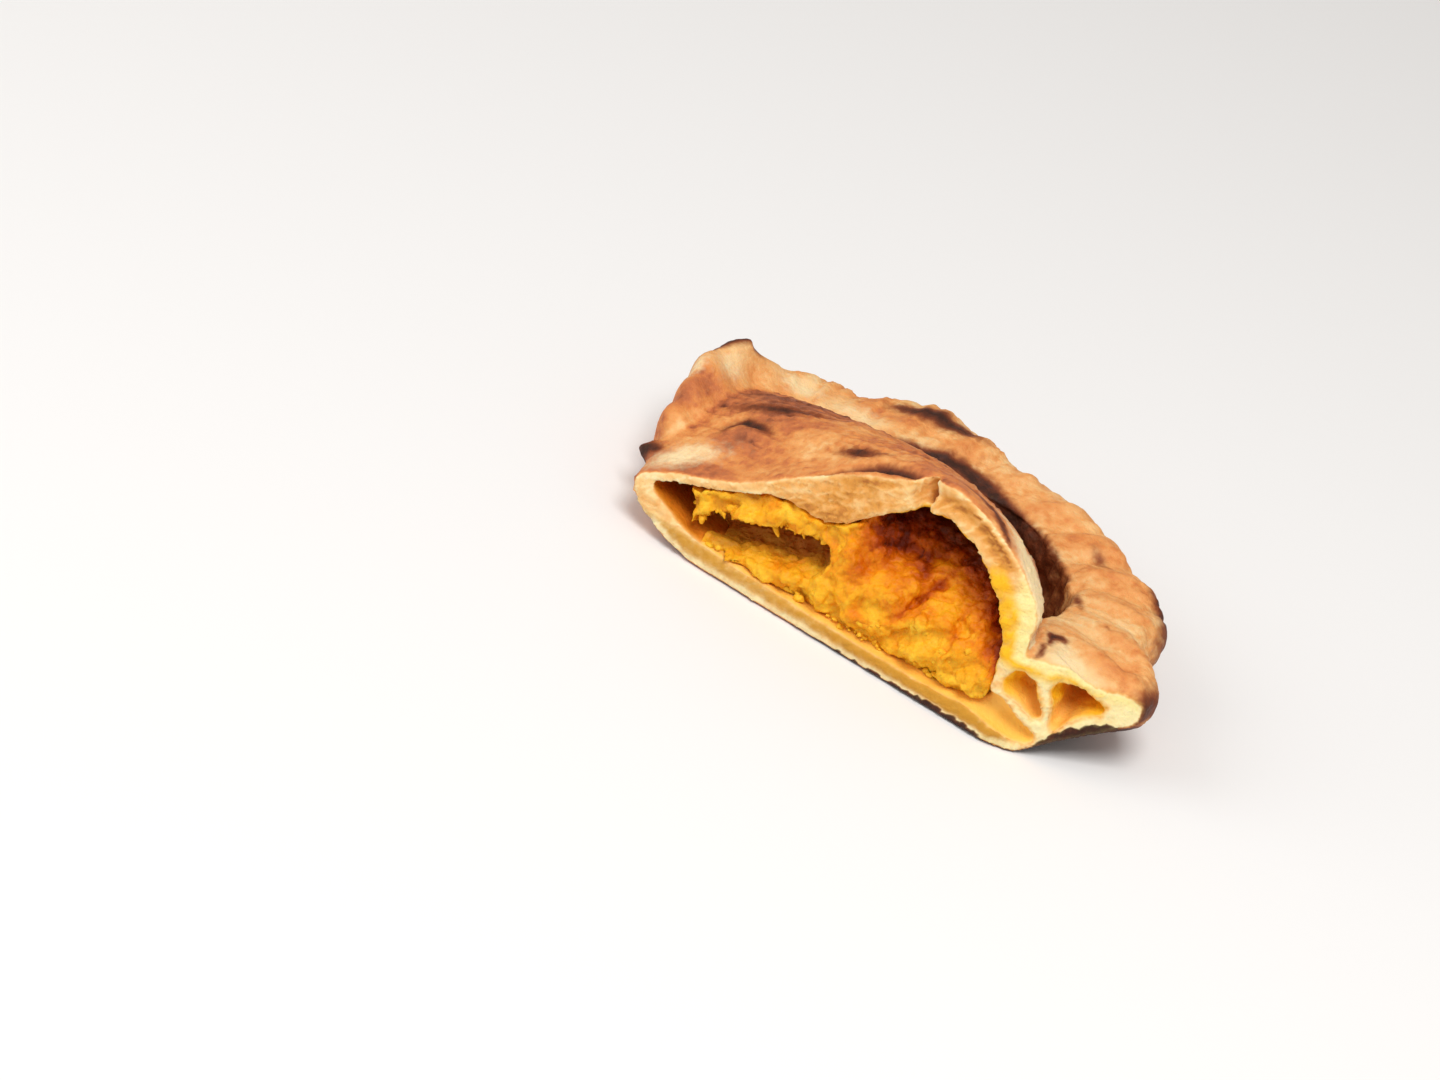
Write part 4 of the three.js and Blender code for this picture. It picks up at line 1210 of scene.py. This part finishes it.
curds = pebbles("curds", curd_at, curd_size[:, None] * curd_form, 2.0)
paint_cheese(curds)
cheese_curds = finished("cheese_curds", curds)
print("curds:", len(curds.polygons), "faces")

# %% [markdown]
# Materials
# One function adds a node with its settings and links, and one turns a hex colour to linear light.
# Patterns read Object coordinates, which are metres, so a scale of 1000 / size gives one feature each
# `size` millimetres.


# %% Helpers for materials
def colour(code):
    """An sRGB hex code as linear light: v / 12.92 below 0.04045, else ((v + 0.055) / 1.055)^2.4."""
    v = np.array([int(code[k:k + 2], 16) for k in (1, 3, 5)]) / 255
    return (*np.where(v <= 0.04045, v / 12.92, ((v + 0.055) / 1.055) ** 2.4), 1.0)


def add(tree, kind, inputs=(), **settings):
    """Adds one node. Each input is a value to set or a socket to link, under its name or number."""
    made = tree.nodes.new(kind)
    for name, value in settings.items():
        setattr(made, name, value)
    for key, value in dict(inputs).items():
        if isinstance(value, bpy.types.NodeSocket):
            tree.links.new(value, made.inputs[key])
        else:
            made.inputs[key].default_value = value
    return made


def new_material(name):
    """An empty material with its node tree."""
    material = bpy.data.materials.new(name)
    material.use_nodes = True
    material.node_tree.nodes.clear()
    return material, material.node_tree


def set_stages(made, stages):
    """Fills a colour ramp node with rows of position and hex colour."""
    stops = made.color_ramp.elements
    for position, _ in stages[1:-1]:
        stops.new(position)
    for stop, (position, code) in zip(stops, stages):
        stop.position, stop.color = position, colour(code)
    return made.outputs["Color"]


def broken(tree, mask, noise, strength, start, end):
    """A mask whose border is broken by noise: a soft step of mask + strength x (noise - 0.5)."""
    terms = {0: noise, 1: strength, 2: mask}
    raised = add(tree, "ShaderNodeMath", terms, operation="MULTIPLY_ADD").outputs[0]
    return add(tree, "ShaderNodeMapRange", {
        "Value": raised, "From Min": start + 0.5 * strength, "From Max": end + 0.5 * strength,
    }, interpolation_type="SMOOTHSTEP").outputs[0]


print("cream in linear light:", [round(v, 2) for v in colour("#F6D9A6")[:3]])

# %% [markdown]
# Baked wheat dough
# Wheat dough browns from cream over gold to orange brown, and burns to a warm black. The skin is matt
# with a faint sheen in places, floury where it is pale, and the crumb inside is moist and slightly
# see-through. The masks from above choose between these, and some of them carry painted shade. Noise
# breaks their borders.

# %% Noise and browning of the skin
dough, tree = new_material("Baked_wheat_dough")
place = add(tree, "ShaderNodeTexCoord").outputs["Object"]
crust_layers = (
    "browning", "drawn", "scorch", "flour", "crumb", "soak", "butter", "oily", "inner", "deep", "coat",
)
masks = {n: add(tree, "ShaderNodeAttribute", attribute_name=n).outputs["Fac"] for n in crust_layers}
stretched = {"Vector": place, "Rotation": (0, 0, -0.15), "Scale": (0.45, 1, 0.8)}
drawn_out = add(tree, "ShaderNodeMapping", stretched).outputs[0]
# Where the noise lies, the size of its forms in mm, and its detail
broad, streak, fine, speckle = (
    add(tree, "ShaderNodeTexNoise", {"Vector": at, "Scale": 1000 / size, "Detail": detail}).outputs["Fac"]
    for at, size, detail in ((place, 7, 3.0), (drawn_out, 1.7, 3.0), (place, 1.5, 4.0), (place, 0.6, 2.0))
)
streak = add(tree, "ShaderNodeMix", {0: masks["drawn"], 2: 0.5, 3: streak}, data_type="FLOAT").outputs[0]
# Browning with its painted shade + 0.4 (broad - 0.5) + 0.4 (streak - 0.5) + 0.36 (fine - 0.5)
browned = -0.58
for noise, strength in ((broad, 0.4), (streak, 0.4), (fine, 0.36)):
    terms = {0: noise, 1: strength, 2: browned}
    browned = add(tree, "ShaderNodeMath", terms, operation="MULTIPLY_ADD").outputs[0]
browned = add(tree, "ShaderNodeMath", {0: masks["browning"], 1: browned}, operation="ADD").outputs[0]
skin = set_stages(add(tree, "ShaderNodeValToRGB", {"Fac": browned}), [
    (0.0, "#F6D9A4"), (0.2, "#F0BF80"), (0.36, "#E9A35E"), (0.52, "#DC8A48"), (0.68, "#C4703F"),
    (0.84, "#9C5634"), (1.0, "#6C3620"),
])
print("nodes for the browned skin:", len(tree.nodes))

# %% [markdown]
# Layers over the skin
# Over the browned skin lie flour, two shades of scorch that also carry painted shade, the inner side
# in painted shade that darkens with depth, the crumb of the cut, butter, oil and stuck cheese, which
# also darkens with painted shade at depth. Each is mixed in by its own mask, and the later ones cover
# the earlier.

# %% Layers over the skin
# Soak with its lines of painted shade - 0.2 + 0.4 fine
soaked = add(tree, "ShaderNodeMath", {0: masks["soak"], 1: -0.2}, operation="ADD").outputs[0]
soaked = add(tree, "ShaderNodeMath", {0: fine, 1: 0.4, 2: soaked}, operation="MULTIPLY_ADD").outputs[0]
open_crumb = set_stages(add(tree, "ShaderNodeValToRGB", {"Fac": soaked}), [
    (0.0, "#FCEBB8"), (0.3, "#F8D190"), (0.6, "#EBAE62"), (0.8, "#DC9640"), (1.0, "#B0682A"),
])
# The inner side in painted shade, darker with depth
steamed = set_stages(add(tree, "ShaderNodeValToRGB", {"Fac": masks["deep"]}), [
    (0.0, "#FFC860"), (0.35, "#EC9C34"), (0.7, "#BC640E"), (1.0, "#7E3406"),
])
# Stuck cheese, also darker with painted shade at depth
stuck_cheese = set_stages(add(tree, "ShaderNodeValToRGB", {"Fac": masks["deep"]}), [
    (0.0, "#FAB914"), (0.45, "#D97408"), (1.0, "#7A2406"),
])
layers = [
    (broken(tree, masks["flour"], fine, 0.8, 0.1, 0.9), colour("#F8DCA8")),
    # Scorch, and painted shade in the folds, the crease and the trough
    (broken(tree, masks["scorch"], fine, 0.45, 0.05, 0.75), colour("#86401C")),
    (broken(tree, masks["scorch"], fine, 0.45, 0.5, 1.1), colour("#34170C")),
    (masks["inner"], steamed),
    (broken(tree, masks["crumb"], fine, 0.3, 0.3, 0.7), open_crumb),
    (masks["butter"], colour("#FBE58E")),
    (broken(tree, masks["oily"], fine, 0.5, 0.0, 0.9), colour("#C0862A")),
    (masks["coat"], stuck_cheese),
]
for share, over in layers:
    skin = add(tree, "ShaderNodeMix", {0: share, 6: skin, 7: over}, data_type="RGBA").outputs[2]
print("layers over the skin:", len(layers))

# %% [markdown]
# The surface of the dough
# What is finer than the net goes into a bump of half a millimetre: the grain of the skin and the pores
# of the crumb. Crumb lets a little light through, so the shader has some subsurface scattering.

# %% Pores, sheen and surface of the dough
pores = add(tree, "ShaderNodeTexVoronoi", {"Vector": place, "Scale": 1000 / 1.5}).outputs["Distance"]
open_pores = add(tree, "ShaderNodeMath", {0: pores, 1: masks["crumb"]}, operation="MULTIPLY").outputs[0]
height = fine
for noise, strength in ((speckle, 0.4), (streak, 0.5), (open_pores, 0.4)):
    terms = {0: noise, 1: strength, 2: height}
    height = add(tree, "ShaderNodeMath", terms, operation="MULTIPLY_ADD").outputs[0]
bump = add(tree, "ShaderNodeBump", {"Height": height, "Strength": 0.8, "Distance": 0.0005}).outputs[0]
shine = add(tree, "ShaderNodeMapRange", {"Value": broad, "To Min": 0.5, "To Max": 0.75}).outputs[0]
shader = add(tree, "ShaderNodeBsdfPrincipled", {
    "Base Color": skin, "Roughness": shine, "IOR": 1.45, "Specular IOR Level": 0.35, "Normal": bump,
    "Subsurface Weight": 0.12, "Subsurface Radius": (1.0, 0.5, 0.2), "Subsurface Scale": 0.0012,
})
add(tree, "ShaderNodeOutputMaterial", {"Surface": shader.outputs[0]})
crust_mesh.materials.append(dough)
print("dough nodes:", len(tree.nodes))

# %% [markdown]
# Melted cheddar
# Cheddar is orange yellow, greasy and slightly see-through. Where steam has dried it under the roof it
# turns to burnt orange, and painted shade takes it to red brown there, in the valleys, between the
# grains and in the hole. A thin film of fat gives it small wet lights.

# %% Melted cheddar
cheddar, tree = new_material("Melted_cheddar")
place = add(tree, "ShaderNodeTexCoord").outputs["Object"]
cheese_layers = ("deep", "far", "grain", "toasted")
masks = {n: add(tree, "ShaderNodeAttribute", attribute_name=n).outputs["Fac"] for n in cheese_layers}
broad, fine = (
    add(tree, "ShaderNodeTexNoise", {"Vector": place, "Scale": 1000 / size, "Detail": 3.0}).outputs["Fac"]
    for size in (4, 0.9)
)
# Toast and painted shade + 0.35 (broad - 0.5) + 0.2 (fine - 0.5)
tone = -0.275
for noise, strength in ((broad, 0.35), (fine, 0.2)):
    tone = add(tree, "ShaderNodeMath", {0: noise, 1: strength, 2: tone}, operation="MULTIPLY_ADD").outputs[0]
tone = add(tree, "ShaderNodeMath", {0: masks["toasted"], 1: tone}, operation="ADD").outputs[0]
face = set_stages(add(tree, "ShaderNodeValToRGB", {"Fac": tone}), [
    (0.0, "#FCC836"), (0.25, "#F3AA1C"), (0.45, "#E8890C"), (0.65, "#CE6404"), (0.85, "#A03C04"),
    (1.0, "#621C04"),
])
# Painted shade in the gaps between the grains, 0.34 x (1 - grain), and on the hole's walls: brown,
# and paler at the back, so that they still show in the dim light
grained = broken(tree, masks["grain"], fine, 0.3, 0.25, 0.6)
gaps = add(tree, "ShaderNodeMath", {0: 1.0, 1: grained}, operation="SUBTRACT").outputs[0]
gaps = add(tree, "ShaderNodeMath", {0: gaps, 1: 0.34}, operation="MULTIPLY").outputs[0]
walls = {0: masks["far"], 6: colour("#AC6A20"), 7: colour("#F0B060")}
dry = add(tree, "ShaderNodeMix", walls, data_type="RGBA").outputs[2]
for share, over in ((gaps, colour("#C0560A")), (masks["deep"], dry)):
    face = add(tree, "ShaderNodeMix", {0: share, 6: face, 7: over}, data_type="RGBA").outputs[2]
cells = {"Vector": place, "Scale": 1000 / 1.3}
crumbs = add(tree, "ShaderNodeTexVoronoi", cells, feature="SMOOTH_F1").outputs["Distance"]
height = add(tree, "ShaderNodeMath", {0: crumbs, 1: -1.2, 2: fine}, operation="MULTIPLY_ADD").outputs[0]
bump = add(tree, "ShaderNodeBump", {"Height": height, "Strength": 0.8, "Distance": 0.0005}).outputs[0]
shader = add(tree, "ShaderNodeBsdfPrincipled", {
    "Base Color": face, "Roughness": 0.45, "IOR": 1.46, "Specular IOR Level": 0.2, "Normal": bump,
    "Subsurface Weight": 0.2, "Subsurface Radius": (1.0, 0.45, 0.1), "Subsurface Scale": 0.0015,
})
add(tree, "ShaderNodeOutputMaterial", {"Surface": shader.outputs[0]})
for piece in (melted_cheddar, hanging_shreds, cheese_curds):
    piece.data.materials.append(cheddar)
print("cheddar nodes:", len(tree.nodes))

# %% [markdown]
# Stage and light
# A plain pale floor and large soft lamps, as for a product photograph. The key lamp stands high in
# front, so the roof shades the hole, and the fill lamp opens the shadows on the left.

# %% Floor and lamps
floor_data = bpy.data.meshes.new("pale_floor")
floor_data.from_pydata([(-4, -4, 0), (4, -4, 0), (4, 4, 0), (-4, 4, 0)], [], [(0, 1, 2, 3)])
in_scene("pale_floor", floor_data)
paint, tree = new_material("Matt_pale_paint")
shader = add(tree, "ShaderNodeBsdfPrincipled", {"Base Color": colour("#F2F0EE"), "Roughness": 0.9})
add(tree, "ShaderNodeOutputMaterial", {"Surface": shader.outputs[0]})
floor_data.materials.append(paint)


def lamp(name, at, size, power):
    """A square area lamp that looks at the object."""
    data = bpy.data.lights.new(name, "AREA")
    data.shape, data.size, data.energy = "SQUARE", size, power
    made = in_scene(name, data)
    made.location = at
    made.rotation_euler = (Vector((0, 0, 0.02)) - Vector(at)).to_track_quat("-Z", "Y").to_euler()


lamp("key", (0.3, -0.4, 1.0), 0.5, 8.0)
lamp("fill", (-0.75, -0.55, 0.6), 0.8, 3.5)
world = bpy.data.worlds.new("Soft_studio")
world.use_nodes = True
world.node_tree.nodes["Background"].inputs["Color"].default_value = (1.0, 0.98, 0.96, 1.0)
world.node_tree.nodes["Background"].inputs["Strength"].default_value = 0.42
bpy.context.scene.world = world
bpy.context.scene.view_settings.view_transform = "Standard"
print("lamps and world ready")

# %% [markdown]
# Camera
# The camera looks down at the cut face from the front right through a long lens, turned a little in its
# own view. Its three directions come from two angles and a roll, and its place from the pixel that the
# aim should have.

# %% View of the cut
AZIMUTH, ELEVATION, ROLL = np.radians([25.03, 31.53, 17.58])
flat = np.cos(ELEVATION)
back = np.array([np.sin(AZIMUTH) * flat, -np.cos(AZIMUTH) * flat, np.sin(ELEVATION)])
level_right = np.array([np.cos(AZIMUTH), np.sin(AZIMUTH), 0])
level_up = np.cross(back, level_right)
right = level_right * np.cos(ROLL) + level_up * np.sin(ROLL)
up = level_up * np.cos(ROLL) - level_right * np.sin(ROLL)
LENS_MM, SENSOR_MM, DISTANCE = 114.3, 36.0, 0.9
IMAGE_WIDTH, IMAGE_HEIGHT, AIM_PIXEL = 1440, 1080, (791, 628)
pixels = LENS_MM / SENSOR_MM * IMAGE_WIDTH
aside, above = (AIM_PIXEL[0] - IMAGE_WIDTH / 2) / pixels, (AIM_PIXEL[1] - IMAGE_HEIGHT / 2) / pixels
aim = np.array([-0.004, -0.034, 0.0])
stand = aim - DISTANCE * (aside * right - above * up - back)
camera_data = bpy.data.cameras.new("view_of_the_cut")
camera_data.lens, camera_data.sensor_width = LENS_MM, SENSOR_MM
camera = in_scene("view_of_the_cut", camera_data)
camera.matrix_world = Matrix([*np.stack([right, up, back, stand], 1).tolist(), [0, 0, 0, 1]])
bpy.context.scene.camera = camera
print("camera at", [round(v, 3) for v in camera.location])
